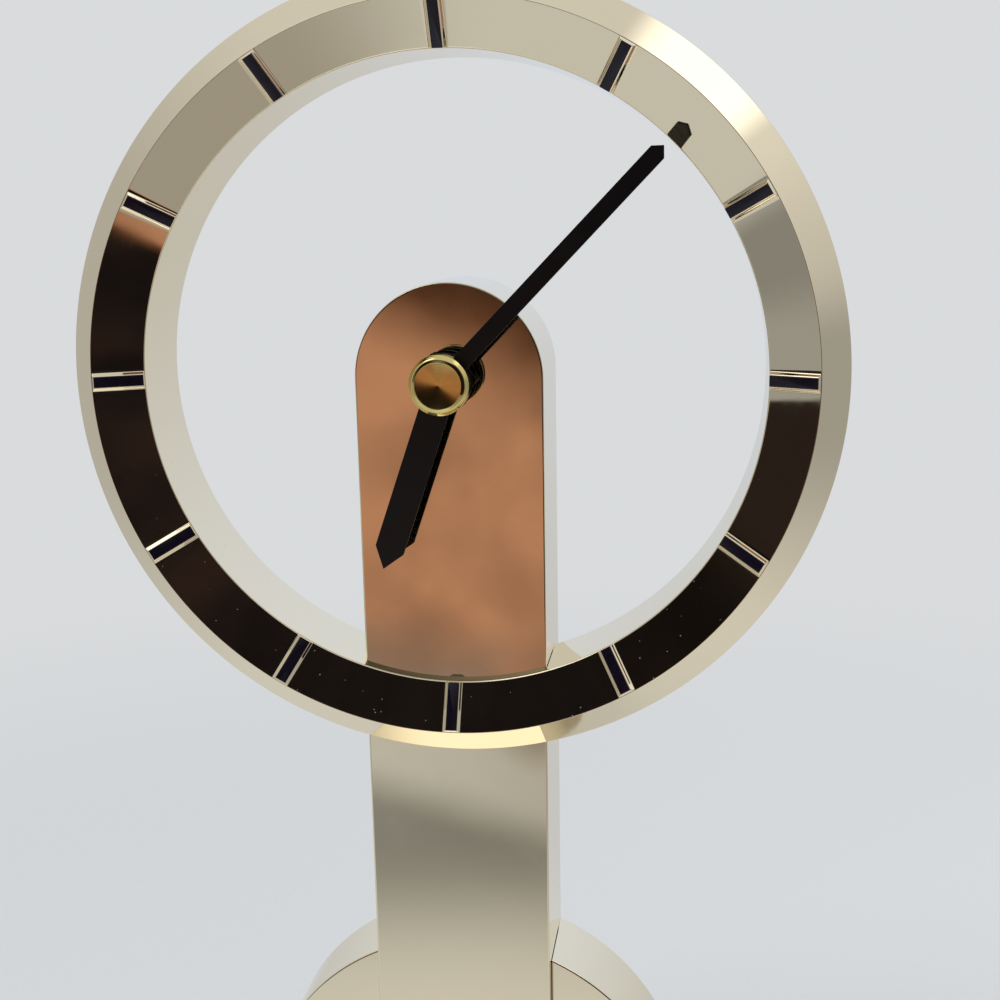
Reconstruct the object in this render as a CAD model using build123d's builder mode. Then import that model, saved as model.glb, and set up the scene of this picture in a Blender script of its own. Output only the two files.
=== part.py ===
from build123d import *
from math import cos, hypot, pi, radians, sin, sqrt
import os

os.makedirs("parts", exist_ok=True)

# Overall sizes, in millimetres
dial_height = 203
drum_height = 48.7
plinth_length = 116
plinth_depth = 62
plinth_top = 16

# Depths of the front planes, counted back from the ridge of the dial ring
ridge_y = -16
pillar_near = 5.4
pillar_depth = 20
drum_near = 8.4
drum_depth = 17

# Dial ring
ridge_radius = 65
face_width = 8.5
face_drop = 4.4
bevel_width = 5.4
bevel_drop = 5.6
ring_depth = 20
ring_wall = 2
ring_skin = 2.3
ring_back_thickness = 2
marker_count = 12
marker_base_width = 3.5
marker_width = 1.9
marker_rise = 0.8
marker_thickness = 0.15
marker_sink = 0.3
marker_end_rim = 0.1
marker_end_slope = 0.25

# Pillar
pillar_half_width = 17.2
pillar_wall = 1.6
pillar_back_thickness = 1.8
pillar_edge_round = 0.35

# Lower ring, where the pendulum shows
drum_radius = 42.5
window_radius = 29
drum_wall = 2
drum_back_thickness = 2
drum_edge_chamfer = 0.3

# Plinth
plinth_wall = 2.5
plinth_chamfer = 3
foot_radius = 5
foot_height = 2
foot_recess = 0.6
base_plate_thickness = 2
weight_thickness = 4

# Screws and their holes
screw_head_radius = 2.2
screw_head_height = 1.1
screw_radius = 1.1
screw_boss_radius = 2.6
screw_recess_width = 0.6
screw_recess_depth = 0.6
screw_recess_share = 1.3
thread_gap = 0.05
head_gap = 0.3

# Fits
seat_gap = 0.1
run_gap = 0.06
side_gap = 0.3
overrun = 1

# Hands, pressed on the pipes in front of the pillar
hand_thickness = 0.6
hand_hub_radius = 5.2
minute_hand_length = 55.1
minute_hand_width = 3
minute_point = 1.5
minute_hand_angle = 44.2
hour_hand_length = 36.2
hour_hand_width = 5.4
hour_point = 3.8
hour_hand_angle = 199.3
hand_collar_length = 1.2
hand_collar_wall = 0.6
hour_hand_near = 0.9
minute_hand_near = -1.5
cap_radius = 5.35
cap_height = 2.9
cap_rim_width = 0.75
cap_dish_depth = 0.7
cap_edge_round = 0.35
cap_pin_radius = 0.7
cap_pin_length = 2

# Movement case and its fixing
case_gap = 0.4
case_wall = 1.2
case_depth = 15
case_split = 7.5
case_drop = 43
bushing_radius = 3.6
nut_flats = 9.4
nut_height = 1.7
washer_radius = 5.2
washer_thickness = 0.4
bushing_stand = 0.3

# Pipes and arbors of the movement
hour_pipe_radius = 2.6
minute_pipe_radius = 1.6
minute_pipe_stand = 0.1
arbor_radius = 0.5
centre_arbor_radius = 0.9
setting_shaft_radius = 1.2
pivot_depth = 0.8

# Gear train: modules, teeth and thicknesses
motion_module = 0.3
cannon_teeth = 10
reverse_teeth = 30
reverse_pinion_teeth = 8
hour_teeth = 32
setting_teeth = 10
centre_module = 0.25
centre_teeth = 64
third_pinion_teeth = 8
third_teeth = 60
second_pinion_teeth = 8
motor_module = 0.2
second_teeth = 60
middle_pinion_teeth = 10
middle_teeth = 50
rotor_pinion_teeth = 10
wheel_thickness = 0.8
layer_pitch = 1.4
first_layer_gap = 0.4
setting_angle = 30

# Shares of the module that shape a tooth, and of a tooth's pitch
addendum_share = 0.7
dedendum_share = 1.0
tip_share = 0.1
flank_share = 0.2
root_share = 0.27

# Stepping motor and board
rotor_radius = 2.4
rotor_height = 1.6
rotor_gap = 0.5
stator_thickness = 1
stator_half_width = 12
stator_rise = 4.5
coil_radius = 2.3
coil_length = 17
coil_core_radius = 0.9
coil_drop = 7.2
board_width = 9.5
board_height = 24
board_thickness = 0.8
board_offset = 3.4
board_drop = 10.5
chip_size = 4
chip_height = 0.7
crystal_radius = 1
crystal_length = 6

# Setting knob
knob_radius = 4.5
knob_length = 2.6
knob_stand = 0.6
knob_grooves = 18
knob_groove_radius = 0.4

# Pendulum and what carries it
pivot_drop = 46.5
pivot_radius = 0.6
bracket_width = 14
bracket_thickness = 1.6
bracket_drop = 14
hanger_width = 5
hanger_thickness = 1.4
hanger_reach = 12
hanger_eye_radius = 2.2
magnet_radius = 2
magnet_thickness = 1.2
magnet_drop = 7.2
drive_coil_radius = 4
drive_coil_bore = 1.2
drive_coil_thickness = 1.8
rod_radius = 0.8
rod_depth = 9.4
rod_bend = 3
crank_top_drop = 112
crank_end_drop = 121
bob_radius = 15
bob_thickness = 5
bob_rim_width = 1.6
bob_dish_depth = 1.1
bob_back_thickness = 1

# Battery bay
cell_radius = 5.25
cell_length = 44.5
cell_nub_radius = 1.9
cell_nub_length = 1
cell_top_drop = 62
bay_wall = 0.9
bay_gap = 0.3
contact_thickness = 0.4
contact_width = 8
contact_spring_length = 2.6
door_thickness = 1.4
door_margin = 1.6
door_pin_radius = 0.5
door_pin_reach = 1.2
door_gap = 0.3
door_ribs = 5
door_rib_depth = 0.35
door_rib_width = 0.7

# Planes and levels that several pieces share
ring_inner_radius = ridge_radius - face_width
ring_outer_radius = ridge_radius + bevel_width
pillar_far = pillar_near + pillar_depth
drum_far = drum_near + drum_depth
drum_mid = drum_near + drum_depth / 2
drum_drop = dial_height - drum_height
pillar_inner = pillar_near + pillar_wall
weight_floor = foot_height + base_plate_thickness
ring_foot_height = weight_floor + weight_thickness
dial_axis = Axis((0, ridge_y, dial_height), (0, 1, 0))
drum_axis = Axis((0, ridge_y, drum_height), (0, 1, 0))


def upright(depth, height=dial_height, x=0):
    """Plane facing the front, with X to the right and Y up."""
    return Plane(origin=(x, ridge_y + depth, height), x_dir=(1, 0, 0), z_dir=(0, -1, 0))


def section(height=dial_height, x=0):
    """Level plane whose X is the radius and whose Y is the depth behind the ridge."""
    return Plane(origin=(x, ridge_y, height), x_dir=(1, 0, 0), z_dir=(0, 0, 1))


def rearward(depth, height=dial_height, x=0):
    """Plane facing the back, for what is driven or pressed in from behind."""
    return Plane(origin=(x, ridge_y + depth, height), x_dir=(-1, 0, 0), z_dir=(0, 1, 0))


def disc(depth, thickness, radius, height=dial_height, x=0, bore=0, mode=Mode.ADD):
    """Round slab from depth to depth + thickness, with an optional bore."""
    with BuildSketch(upright(depth + thickness, height, x)) as profile:
        Circle(radius)
        if bore:
            Circle(bore, mode=Mode.SUBTRACT)
    extrude(profile.sketch, amount=thickness, mode=mode)


def slab(depth, thickness, width, top, bottom, x=0, mode=Mode.ADD):
    """Upright rectangular slab between two heights."""
    with BuildSketch(upright(depth + thickness, (top + bottom) / 2, x)) as profile:
        Rectangle(width, top - bottom)
    extrude(profile.sketch, amount=thickness, mode=mode)


def stadium(half_width, foot, centre=dial_height):
    """Outline with a round top about the centre height and a flat foot."""
    side = centre - foot
    with BuildLine() as outline:
        Line((half_width, 0), (half_width, -side))
        Line((half_width, -side), (-half_width, -side))
        Line((-half_width, -side), (-half_width, 0))
        ThreePointArc((-half_width, 0), (0, half_width), (half_width, 0))
    make_face(outline.edges())


def screw(plane, length):
    """Cross-recess screw whose head sits on the plane and whose shank goes behind it."""
    with BuildSketch(plane) as head:
        Circle(screw_head_radius)
    extrude(head.sketch, amount=screw_head_height)
    with BuildSketch(plane) as shank:
        Circle(screw_radius)
    extrude(shank.sketch, amount=-length)
    with BuildSketch(plane.offset(screw_head_height)) as recess:
        Rectangle(screw_head_radius * screw_recess_share, screw_recess_width)
        Rectangle(screw_recess_width, screw_head_radius * screw_recess_share)
    extrude(recess.sketch, amount=-screw_recess_depth, mode=Mode.SUBTRACT)


def toothed(teeth, module, phase):
    """Gear outline with straight flanks; one tooth points at the phase angle."""
    pitch_radius = module * teeth / 2
    tip_radius = pitch_radius + module * addendum_share
    root_radius = pitch_radius - module * dedendum_share
    step = 2 * pi / teeth
    corners = ((root_radius, -root_share), (pitch_radius, -flank_share), (tip_radius, -tip_share),
               (tip_radius, tip_share), (pitch_radius, flank_share), (root_radius, root_share))
    points = []
    for tooth in range(teeth):
        middle = radians(phase) + tooth * step
        for radius, share in corners:
            angle = middle + share * step
            points.append((radius * cos(angle), radius * sin(angle)))
    with BuildLine() as outline:
        Polyline(*points, close=True)
    make_face(outline.edges())


def gear(layer, teeth, module, phase, height, x=0):
    """Gear of one wheel's thickness on its layer of the train."""
    with BuildSketch(upright(layer + wheel_thickness, height, x)) as profile:
        toothed(teeth, module, phase)
    extrude(profile.sketch, amount=wheel_thickness)


def face_depth(radius):
    """Depth of the dial face's cone at a radius."""
    return (ridge_radius - radius) / face_width * face_drop


def finish(builder, name):
    """Label a piece and write its file."""
    builder.part.label = name
    export_step(builder.part, "parts/" + name + ".step")


# Raised bar across the dial face at twelve o'clock, and the black film on its top
slant = hypot(face_width, face_drop)
face_middle = (0, ridge_y + face_drop / 2, dial_height + ridge_radius - face_width / 2)
face_plane = Plane(origin=face_middle, x_dir=(1, 0, 0), z_dir=(0, -face_width, -face_drop))
bar_height = marker_rise - marker_thickness
bar_length = slant - 2 * marker_end_rim
film_length = bar_length - 2 * marker_end_slope
side_spread = (marker_base_width - marker_width) / bar_height
end_spread = (bar_length - film_length) / bar_height

with BuildPart() as marker_bar:
    with BuildSketch(face_plane.offset(-marker_sink)):
        Rectangle(marker_base_width + side_spread * marker_sink, bar_length + end_spread * marker_sink)
    with BuildSketch(face_plane.offset(bar_height)):
        Rectangle(marker_width, film_length)
    loft()

with BuildPart() as marker_film:
    with BuildSketch(face_plane.offset(bar_height)):
        Rectangle(marker_width, film_length)
    extrude(amount=marker_thickness)

# Places of the screws on the dial ring, in degrees from three o'clock
ring_channel_radius = (ring_inner_radius + ring_outer_radius) / 2
ring_screw_angles = (-150, -30, 30, 90, 150)
ring_screw_places = []
for angle in ring_screw_angles:
    ring_screw_x = ring_channel_radius * cos(radians(angle))
    ring_screw_places.append((ring_screw_x, dial_height + ring_channel_radius * sin(radians(angle))))
screw_shank = 7
mount_screw_x = 10.3
mount_screw_height = dial_height - sqrt(ring_channel_radius**2 - mount_screw_x**2)
mount_shank_reach = 3

# Dial ring: plated shell with a ridge, a dished face inside it and a bevel outside
with BuildPart() as dial_ring:
    with BuildSketch(section()):
        with BuildLine():
            inner_wall = ring_inner_radius + ring_wall
            outer_wall = ring_outer_radius - ring_wall
            outer_skin = (outer_wall - ridge_radius) / bevel_width * bevel_drop + ring_skin
            Polyline(
                (ring_inner_radius, face_drop),
                (ridge_radius, 0),
                (ring_outer_radius, bevel_drop),
                (ring_outer_radius, ring_depth),
                (outer_wall, ring_depth),
                (outer_wall, outer_skin),
                (ridge_radius, ring_skin),
                (inner_wall, face_depth(inner_wall) + ring_skin),
                (inner_wall, ring_depth),
                (ring_inner_radius, ring_depth),
                close=True,
            )
        make_face()
    revolve(axis=dial_axis)
    for place_x, place_z in ring_screw_places:
        disc(ring_skin, ring_depth - ring_back_thickness - ring_skin, screw_boss_radius, place_z, place_x)
        hole_length = screw_shank + screw_head_height + thread_gap
        disc(ring_depth - hole_length, hole_length, screw_radius + thread_gap, place_z, place_x,
             mode=Mode.SUBTRACT)
    with BuildSketch(upright(ring_depth + overrun, dial_height - ring_outer_radius)):
        Rectangle(2 * (pillar_half_width + seat_gap), ring_outer_radius)
    extrude(amount=ring_depth + overrun - pillar_near, mode=Mode.SUBTRACT)
    for side in (-1, 1):
        place_x = side * mount_screw_x
        disc(ring_skin, pillar_near - ring_skin, screw_boss_radius, mount_screw_height, place_x)
        hole_length = mount_shank_reach + thread_gap
        disc(pillar_near - hole_length, hole_length, screw_radius + thread_gap, mount_screw_height,
             place_x, mode=Mode.SUBTRACT)
    for hour in range(marker_count):
        add(marker_bar.part.rotate(dial_axis, hour * 360 / marker_count))
finish(dial_ring, "dial_ring")

with BuildPart() as hour_markers:
    for hour in range(marker_count):
        add(marker_film.part.rotate(dial_axis, hour * 360 / marker_count))
finish(hour_markers, "hour_markers")

# Flat cover let into the back of the dial ring
with BuildPart() as ring_back:
    cover_inner = ring_inner_radius + ring_wall + seat_gap
    cover_outer = ring_outer_radius - ring_wall - seat_gap
    disc(ring_depth - ring_back_thickness, ring_back_thickness, cover_outer, bore=cover_inner)
    with BuildSketch(upright(ring_depth, dial_height - ring_outer_radius)):
        Rectangle(2 * (pillar_half_width + 2 * seat_gap), ring_outer_radius)
    extrude(amount=ring_back_thickness, mode=Mode.SUBTRACT)
    for place_x, place_z in ring_screw_places:
        disc(ring_depth - ring_back_thickness, ring_back_thickness, screw_radius + thread_gap, place_z,
             place_x, mode=Mode.SUBTRACT)
        disc(ring_depth - screw_head_height, screw_head_height, screw_head_radius + head_gap, place_z,
             place_x, mode=Mode.SUBTRACT)
finish(ring_back, "ring_back")

with BuildPart() as ring_screws:
    for place_x, place_z in ring_screw_places:
        screw(rearward(ring_depth - screw_head_height, place_z, place_x), screw_shank)
finish(ring_screws, "ring_screws")

# Places of the screws that hold the pillar's back, and of those in its side walls
cover_screw_x = 12.2
cover_screw_drops = (55, 117)
cover_screw_shank = 8
side_screw_rise = 31
side_screw_shank = 6
side_block_length = 5.2
side_block_depth = 10
rod_slot_half_width = 11
rod_slot_gap = 0.9
setting_x = motion_module * (reverse_teeth + setting_teeth) / 2 * cos(radians(setting_angle))
reverse_rise = motion_module * (cannon_teeth + reverse_teeth) / 2
setting_rise = reverse_rise + motion_module * (reverse_teeth + setting_teeth) / 2 * sin(radians(setting_angle))
setting_height = dial_height + setting_rise
side_screw_height = drum_height + side_screw_rise
cavity_half_width = pillar_half_width - pillar_wall
cover_far = pillar_far - pillar_back_thickness


def cover_screw_places():
    """Places of the four screws in the pillar's back."""
    places = []
    for drop in cover_screw_drops:
        for side in (-1, 1):
            places.append((side * cover_screw_x, dial_height - drop))
    return places


def sideways(side, reach):
    """Plane square to the X axis through a side screw, facing the middle of the pillar."""
    origin = (side * reach, ridge_y + drum_mid, side_screw_height)
    return Plane(origin=origin, x_dir=(0, 0, 1), z_dir=(-side, 0, 0))


# Pillar: deep plated shell, round at the top and cut to the window's curve at its foot
with BuildPart() as pillar_front:
    with BuildSketch(upright(pillar_far)) as outer:
        stadium(pillar_half_width, drum_height)
    extrude(outer.sketch, amount=pillar_depth)
    disc(pillar_near, pillar_depth, window_radius, drum_height, mode=Mode.SUBTRACT)
    fillet(pillar_front.faces().sort_by(Axis.Y)[0].edges(), pillar_edge_round)
    with BuildSketch(upright(pillar_far)) as cavity:
        stadium(cavity_half_width, drum_height)
        with Locations((0, -drum_drop)):
            Circle(window_radius + pillar_wall, mode=Mode.SUBTRACT)
    extrude(cavity.sketch, amount=pillar_depth - pillar_wall, mode=Mode.SUBTRACT)
    slot_depth = 2 * (rod_radius + rod_slot_gap)
    slab(drum_mid - slot_depth / 2, slot_depth, 2 * rod_slot_half_width, drum_height + window_radius
         + pillar_wall + overrun, drum_height, mode=Mode.SUBTRACT)
    disc(pillar_near, pillar_wall, bushing_radius + seat_gap, mode=Mode.SUBTRACT)
    for side in (-1, 1):
        disc(pillar_near, pillar_wall, screw_radius + thread_gap, mount_screw_height,
             side * mount_screw_x, mode=Mode.SUBTRACT)
        with BuildSketch(sideways(side, pillar_half_width)) as hole:
            Circle(screw_radius + thread_gap)
        extrude(hole.sketch, amount=pillar_wall, mode=Mode.SUBTRACT)
    for place_x, place_z in cover_screw_places():
        disc(pillar_inner, cover_far - pillar_inner, screw_boss_radius, place_z, place_x)
        hole_length = cover_screw_shank
        disc(cover_far - hole_length, hole_length, screw_radius + thread_gap, place_z, place_x,
             mode=Mode.SUBTRACT)
finish(pillar_front, "pillar_front")

# Battery bay: levels of the cell, its contacts and the door
cell_depth = pillar_far - door_thickness - bay_gap - cell_radius
cell_top = dial_height - cell_top_drop
cell_bottom = cell_top - cell_length
bay_top = cell_top + cell_nub_length + contact_thickness
bay_bottom = cell_bottom - contact_spring_length - contact_thickness
bay_half_width = cell_radius + bay_gap
tray_half_width = bay_half_width + bay_wall
tray_near = cell_depth - cell_radius - bay_gap - bay_wall
door_half_width = tray_half_width + door_margin
door_axis_height = bay_bottom - bay_wall - door_margin
door_pin_rise = 1
door_bottom = door_axis_height - door_pin_rise
door_top = bay_top + bay_wall + door_margin
door_near = pillar_far - door_thickness
door_axis_depth = pillar_far - door_thickness / 2
door_corner_reach = hypot(door_pin_rise, door_thickness / 2)
recess_bottom = door_axis_height - door_corner_reach - door_gap / 2
recess_top = door_top + door_gap
recess_half_width = door_half_width + door_gap


def door_pin(side, radius, mode=Mode.ADD):
    """Pin at one side of the door's foot, or the hole that takes it."""
    origin = (side * door_half_width, ridge_y + door_axis_depth, door_axis_height)
    with BuildSketch(Plane(origin=origin, x_dir=(0, 0, 1), z_dir=(side, 0, 0))) as profile:
        Circle(radius)
    extrude(profile.sketch, amount=door_gap + door_pin_reach, mode=mode)


# Back of the pillar, let in flush, with the battery opening and the setting knob's hole
with BuildPart() as pillar_back:
    with BuildSketch(upright(pillar_far)) as plate:
        stadium(cavity_half_width - seat_gap, drum_height)
        with Locations((0, -drum_drop)):
            Circle(window_radius + pillar_wall + seat_gap, mode=Mode.SUBTRACT)
    extrude(plate.sketch, amount=pillar_back_thickness)
    disc(cover_far, pillar_back_thickness, setting_shaft_radius + side_gap, setting_height, setting_x,
         mode=Mode.SUBTRACT)
    slab(cover_far, pillar_back_thickness, 2 * bay_half_width, bay_top, recess_bottom,
         mode=Mode.SUBTRACT)
    slab(door_near - bay_gap / 2, door_thickness + bay_gap / 2, 2 * recess_half_width, recess_top,
         recess_bottom, mode=Mode.SUBTRACT)
    lip_top = bay_bottom - bay_wall
    slab(cover_far, pillar_back_thickness, 2 * recess_half_width, lip_top, recess_bottom,
         mode=Mode.SUBTRACT)
    for side in (-1, 1):
        door_pin(side, door_pin_radius + run_gap, mode=Mode.SUBTRACT)
    for place_x, place_z in cover_screw_places():
        disc(cover_far, pillar_back_thickness, screw_radius + thread_gap, place_z, place_x,
             mode=Mode.SUBTRACT)
        disc(pillar_far - screw_head_height, screw_head_height, screw_head_radius + head_gap, place_z,
             place_x, mode=Mode.SUBTRACT)
finish(pillar_back, "pillar_back")

with BuildPart() as pillar_screws:
    for place_x, place_z in cover_screw_places():
        screw(rearward(pillar_far - screw_head_height, place_z, place_x), cover_screw_shank)
finish(pillar_screws, "pillar_screws")

# Screws driven forward from inside the pillar into the dial ring
with BuildPart() as ring_mount_screws:
    for side in (-1, 1):
        plane = rearward(pillar_inner, mount_screw_height, side * mount_screw_x)
        screw(plane, pillar_wall + mount_shank_reach)
finish(ring_mount_screws, "ring_mount_screws")

# Lower ring: its channel section, the foot that stands on the weight, and its screws
channel_inner = window_radius + drum_wall
channel_outer = drum_radius - drum_wall
drum_channel_radius = (channel_inner + channel_outer) / 2
drum_screw_angles = (20, 160, 215, 325)
drum_screw_shank = 6
foot_block_half_width = 11
foot_block_height = 6
foot_screw_x = 6
foot_screw_reach = 5
drum_cover_near = drum_far - drum_back_thickness
drum_screw_places = []
for angle in drum_screw_angles:
    drum_screw_x = drum_channel_radius * cos(radians(angle))
    drum_screw_places.append((drum_screw_x, drum_height + drum_channel_radius * sin(radians(angle))))


def foot_screw_plane(side):
    """Plane facing down under the lower ring, level with the recess in the base plate."""
    origin = (side * foot_screw_x, ridge_y + drum_mid, foot_height + screw_head_height)
    return Plane(origin=origin, x_dir=(1, 0, 0), z_dir=(0, 0, -1))


def foot_screw_hole(radius, reach):
    """Pair of upright holes above the foot screws' heads."""
    for side in (-1, 1):
        with BuildSketch(foot_screw_plane(side)) as hole:
            Circle(radius)
        extrude(hole.sketch, amount=-reach, mode=Mode.SUBTRACT)


with BuildPart() as lower_ring:
    with BuildSketch(section(drum_height)):
        with BuildLine():
            Polyline(
                (window_radius, drum_near),
                (drum_radius, drum_near),
                (drum_radius, drum_far),
                (channel_outer, drum_far),
                (channel_outer, drum_near + drum_wall),
                (channel_inner, drum_near + drum_wall),
                (channel_inner, drum_far),
                (window_radius, drum_far),
                close=True,
            )
        drum_profile = make_face()
        front_corners = drum_profile.vertices().group_by(Axis.Y)[0]
        chamfer(front_corners, drum_edge_chamfer)
    revolve(axis=drum_axis)
    block_near = drum_near + drum_wall
    slab(block_near, drum_cover_near - seat_gap - block_near, 2 * foot_block_half_width,
         ring_foot_height + foot_block_height, ring_foot_height)
    for side in (-1, 1):
        block_middle = pillar_half_width + seat_gap + side_block_length / 2
        slab(block_near, side_block_depth, side_block_length, side_screw_height + screw_boss_radius,
             side_screw_height - screw_boss_radius, side * block_middle)
    for place_x, place_z in drum_screw_places:
        disc(block_near, drum_cover_near - block_near, screw_boss_radius, place_z, place_x)
        hole_length = drum_screw_shank
        disc(drum_cover_near - hole_length, hole_length, screw_radius + thread_gap, place_z, place_x,
             mode=Mode.SUBTRACT)
    slab(drum_near - overrun, drum_depth + 2 * overrun, 2 * (pillar_half_width + seat_gap),
         drum_height + drum_radius + overrun, drum_height, mode=Mode.SUBTRACT)
    slab(drum_near - overrun, drum_depth + 2 * overrun, 2 * drum_radius, ring_foot_height,
         drum_height - drum_radius - overrun, mode=Mode.SUBTRACT)
    for side in (-1, 1):
        with BuildSketch(sideways(side, pillar_half_width)) as hole:
            Circle(screw_radius + thread_gap)
        extrude(hole.sketch, amount=-side_screw_shank, mode=Mode.SUBTRACT)
    hole_top = ring_foot_height + foot_screw_reach + thread_gap
    foot_screw_hole(screw_radius + thread_gap, hole_top - foot_height - screw_head_height)
finish(lower_ring, "lower_ring")

with BuildPart() as lower_ring_back:
    disc(drum_cover_near, drum_back_thickness, channel_outer - seat_gap, drum_height,
         bore=channel_inner + seat_gap)
    slab(drum_cover_near, drum_back_thickness, 2 * (pillar_half_width + seat_gap),
         drum_height + drum_radius, drum_height, mode=Mode.SUBTRACT)
    slab(drum_cover_near, drum_back_thickness, 2 * drum_radius, ring_foot_height + seat_gap,
         drum_height - drum_radius, mode=Mode.SUBTRACT)
    for place_x, place_z in drum_screw_places:
        disc(drum_cover_near, drum_back_thickness, screw_radius + thread_gap, place_z, place_x,
             mode=Mode.SUBTRACT)
        disc(drum_far - screw_head_height, screw_head_height, screw_head_radius + head_gap, place_z,
             place_x, mode=Mode.SUBTRACT)
finish(lower_ring_back, "lower_ring_back")

with BuildPart() as lower_ring_screws:
    for place_x, place_z in drum_screw_places:
        screw(rearward(drum_far - screw_head_height, place_z, place_x), drum_screw_shank)
finish(lower_ring_screws, "lower_ring_screws")

with BuildPart() as side_screws:
    for side in (-1, 1):
        screw(sideways(side, cavity_half_width), side_screw_shank)
finish(side_screws, "side_screws")

with BuildPart() as foot_screws:
    for side in (-1, 1):
        screw(foot_screw_plane(side), ring_foot_height + foot_screw_reach - foot_height
              - screw_head_height)
finish(foot_screws, "foot_screws")

# Plinth: hollow base with a chamfered top and a saddle cut for the lower ring
base_screw_x = 44
base_screw_y = 10
base_screw_shank = 7
foot_x = 38
foot_y = 17
weight_length = 66
weight_depth = 44
weight_corner = 6
inner_length = plinth_length - 2 * plinth_wall
inner_depth = plinth_depth - 2 * plinth_wall
base_screw_spots = GridLocations(2 * base_screw_x, 2 * base_screw_y, 2, 2).locations
foot_spots = GridLocations(2 * foot_x, 2 * foot_y, 2, 2).locations

with BuildPart() as plinth:
    with BuildSketch(Plane.XY.offset(foot_height)):
        SlotOverall(plinth_length, plinth_depth)
    extrude(amount=plinth_top - foot_height)
    chamfer(plinth.faces().sort_by(Axis.Z)[-1].edges(), plinth_chamfer)
    with BuildSketch(Plane.XY.offset(foot_height)):
        SlotOverall(inner_length, inner_depth)
    extrude(amount=plinth_top - foot_height - plinth_wall, mode=Mode.SUBTRACT)
    disc(drum_near - seat_gap, drum_depth + 2 * seat_gap, drum_radius + seat_gap, drum_height,
         mode=Mode.SUBTRACT)
    with BuildSketch(Plane.XY.offset(weight_floor)) as bosses:
        with Locations(*base_screw_spots):
            Circle(screw_boss_radius)
    extrude(bosses.sketch, amount=plinth_top - plinth_wall - weight_floor)
    with BuildSketch(Plane.XY.offset(weight_floor)) as holes:
        with Locations(*base_screw_spots):
            Circle(screw_radius + thread_gap)
    extrude(holes.sketch, amount=base_screw_shank, mode=Mode.SUBTRACT)
finish(plinth, "plinth")

with BuildPart() as base_plate:
    with BuildSketch(Plane.XY.offset(foot_height)):
        SlotOverall(inner_length - 2 * seat_gap, inner_depth - 2 * seat_gap)
        with Locations(*base_screw_spots):
            Circle(screw_radius + thread_gap, mode=Mode.SUBTRACT)
    extrude(amount=base_plate_thickness)
    with BuildSketch(Plane.XY.offset(foot_height)):
        with Locations(*base_screw_spots):
            Circle(screw_head_radius + head_gap)
        with Locations((foot_screw_x, ridge_y + drum_mid), (-foot_screw_x, ridge_y + drum_mid)):
            Circle(screw_head_radius + head_gap)
    extrude(amount=screw_head_height, mode=Mode.SUBTRACT)
    with BuildSketch(Plane.XY.offset(foot_height)):
        with Locations(*foot_spots):
            Circle(foot_radius + seat_gap)
    extrude(amount=foot_recess, mode=Mode.SUBTRACT)
    foot_screw_hole(screw_radius + thread_gap, base_plate_thickness)
finish(base_plate, "base_plate")

with BuildPart() as plinth_weight:
    with BuildSketch(Plane.XY.offset(weight_floor)):
        RectangleRounded(weight_length, weight_depth, weight_corner)
    extrude(amount=weight_thickness)
    foot_screw_hole(screw_radius + thread_gap, plinth_top)
finish(plinth_weight, "plinth_weight")

with BuildPart() as base_screws:
    for spot in base_screw_spots:
        origin = (spot.position.X, spot.position.Y, foot_height + screw_head_height)
        length = base_plate_thickness - screw_head_height + base_screw_shank - thread_gap
        screw(Plane(origin=origin, x_dir=(1, 0, 0), z_dir=(0, 0, -1)), length)
finish(base_screws, "base_screws")

with BuildPart() as rubber_feet:
    with BuildSketch(Plane.XY):
        with Locations(*foot_spots):
            Circle(foot_radius)
    extrude(amount=foot_height + foot_recess)
    chamfer(rubber_feet.faces().sort_by(Axis.Z)[0:4].edges(), foot_recess)
finish(rubber_feet, "rubber_feet")

# Battery bay, cell, contacts and hinged door
with BuildPart() as battery_tray:
    slab(tray_near, cover_far - tray_near, 2 * tray_half_width, bay_top + bay_wall,
         bay_bottom - bay_wall)
    slab(tray_near + bay_wall, cover_far - tray_near, 2 * bay_half_width, bay_top, bay_bottom,
         mode=Mode.SUBTRACT)
finish(battery_tray, "battery_tray")

with BuildPart() as battery_cell:
    with BuildSketch(Plane(origin=(0, ridge_y + cell_depth, cell_bottom))):
        Circle(cell_radius)
    extrude(amount=cell_length)
    chamfer(battery_cell.edges(), contact_thickness)
    with BuildSketch(Plane(origin=(0, ridge_y + cell_depth, cell_top))):
        Circle(cell_nub_radius)
    extrude(amount=cell_nub_length)
finish(battery_cell, "battery_cell")

with BuildPart() as positive_contact:
    slab(cell_depth - contact_width / 2, contact_width, contact_width, bay_top,
         bay_top - contact_thickness)
finish(positive_contact, "positive_contact")

with BuildPart() as negative_contact:
    slab(cell_depth - contact_width / 2, contact_width, contact_width,
         bay_bottom + contact_thickness, bay_bottom)
    leaf_plane = Plane(origin=(-contact_width / 2, ridge_y + cell_depth, bay_bottom), x_dir=(0, 1, 0),
                       z_dir=(1, 0, 0))
    with BuildSketch(leaf_plane):
        with BuildLine():
            foot = contact_thickness / 2
            tip = contact_thickness + contact_spring_length
            half = contact_width / 2
            Polyline(
                (half, foot),
                (half, contact_thickness + foot),
                (0, tip),
                (-contact_thickness, tip - contact_thickness),
                (half - 2 * contact_thickness, contact_thickness),
                (half - 2 * contact_thickness, foot),
                close=True,
            )
        make_face()
    extrude(amount=contact_width)
finish(negative_contact, "negative_contact")

with BuildPart() as battery_door:
    slab(door_near, door_thickness, 2 * door_half_width, door_top, door_bottom)
    rib_pitch = 2 * door_rib_width
    for rib in range(door_ribs):
        rib_top = door_top - door_margin - rib * rib_pitch
        slab(pillar_far - door_rib_depth, door_rib_depth, door_half_width, rib_top,
             rib_top - door_rib_width, mode=Mode.SUBTRACT)
    for side in (-1, 1):
        door_pin(side, door_pin_radius)
finish(battery_door, "battery_door")

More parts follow.
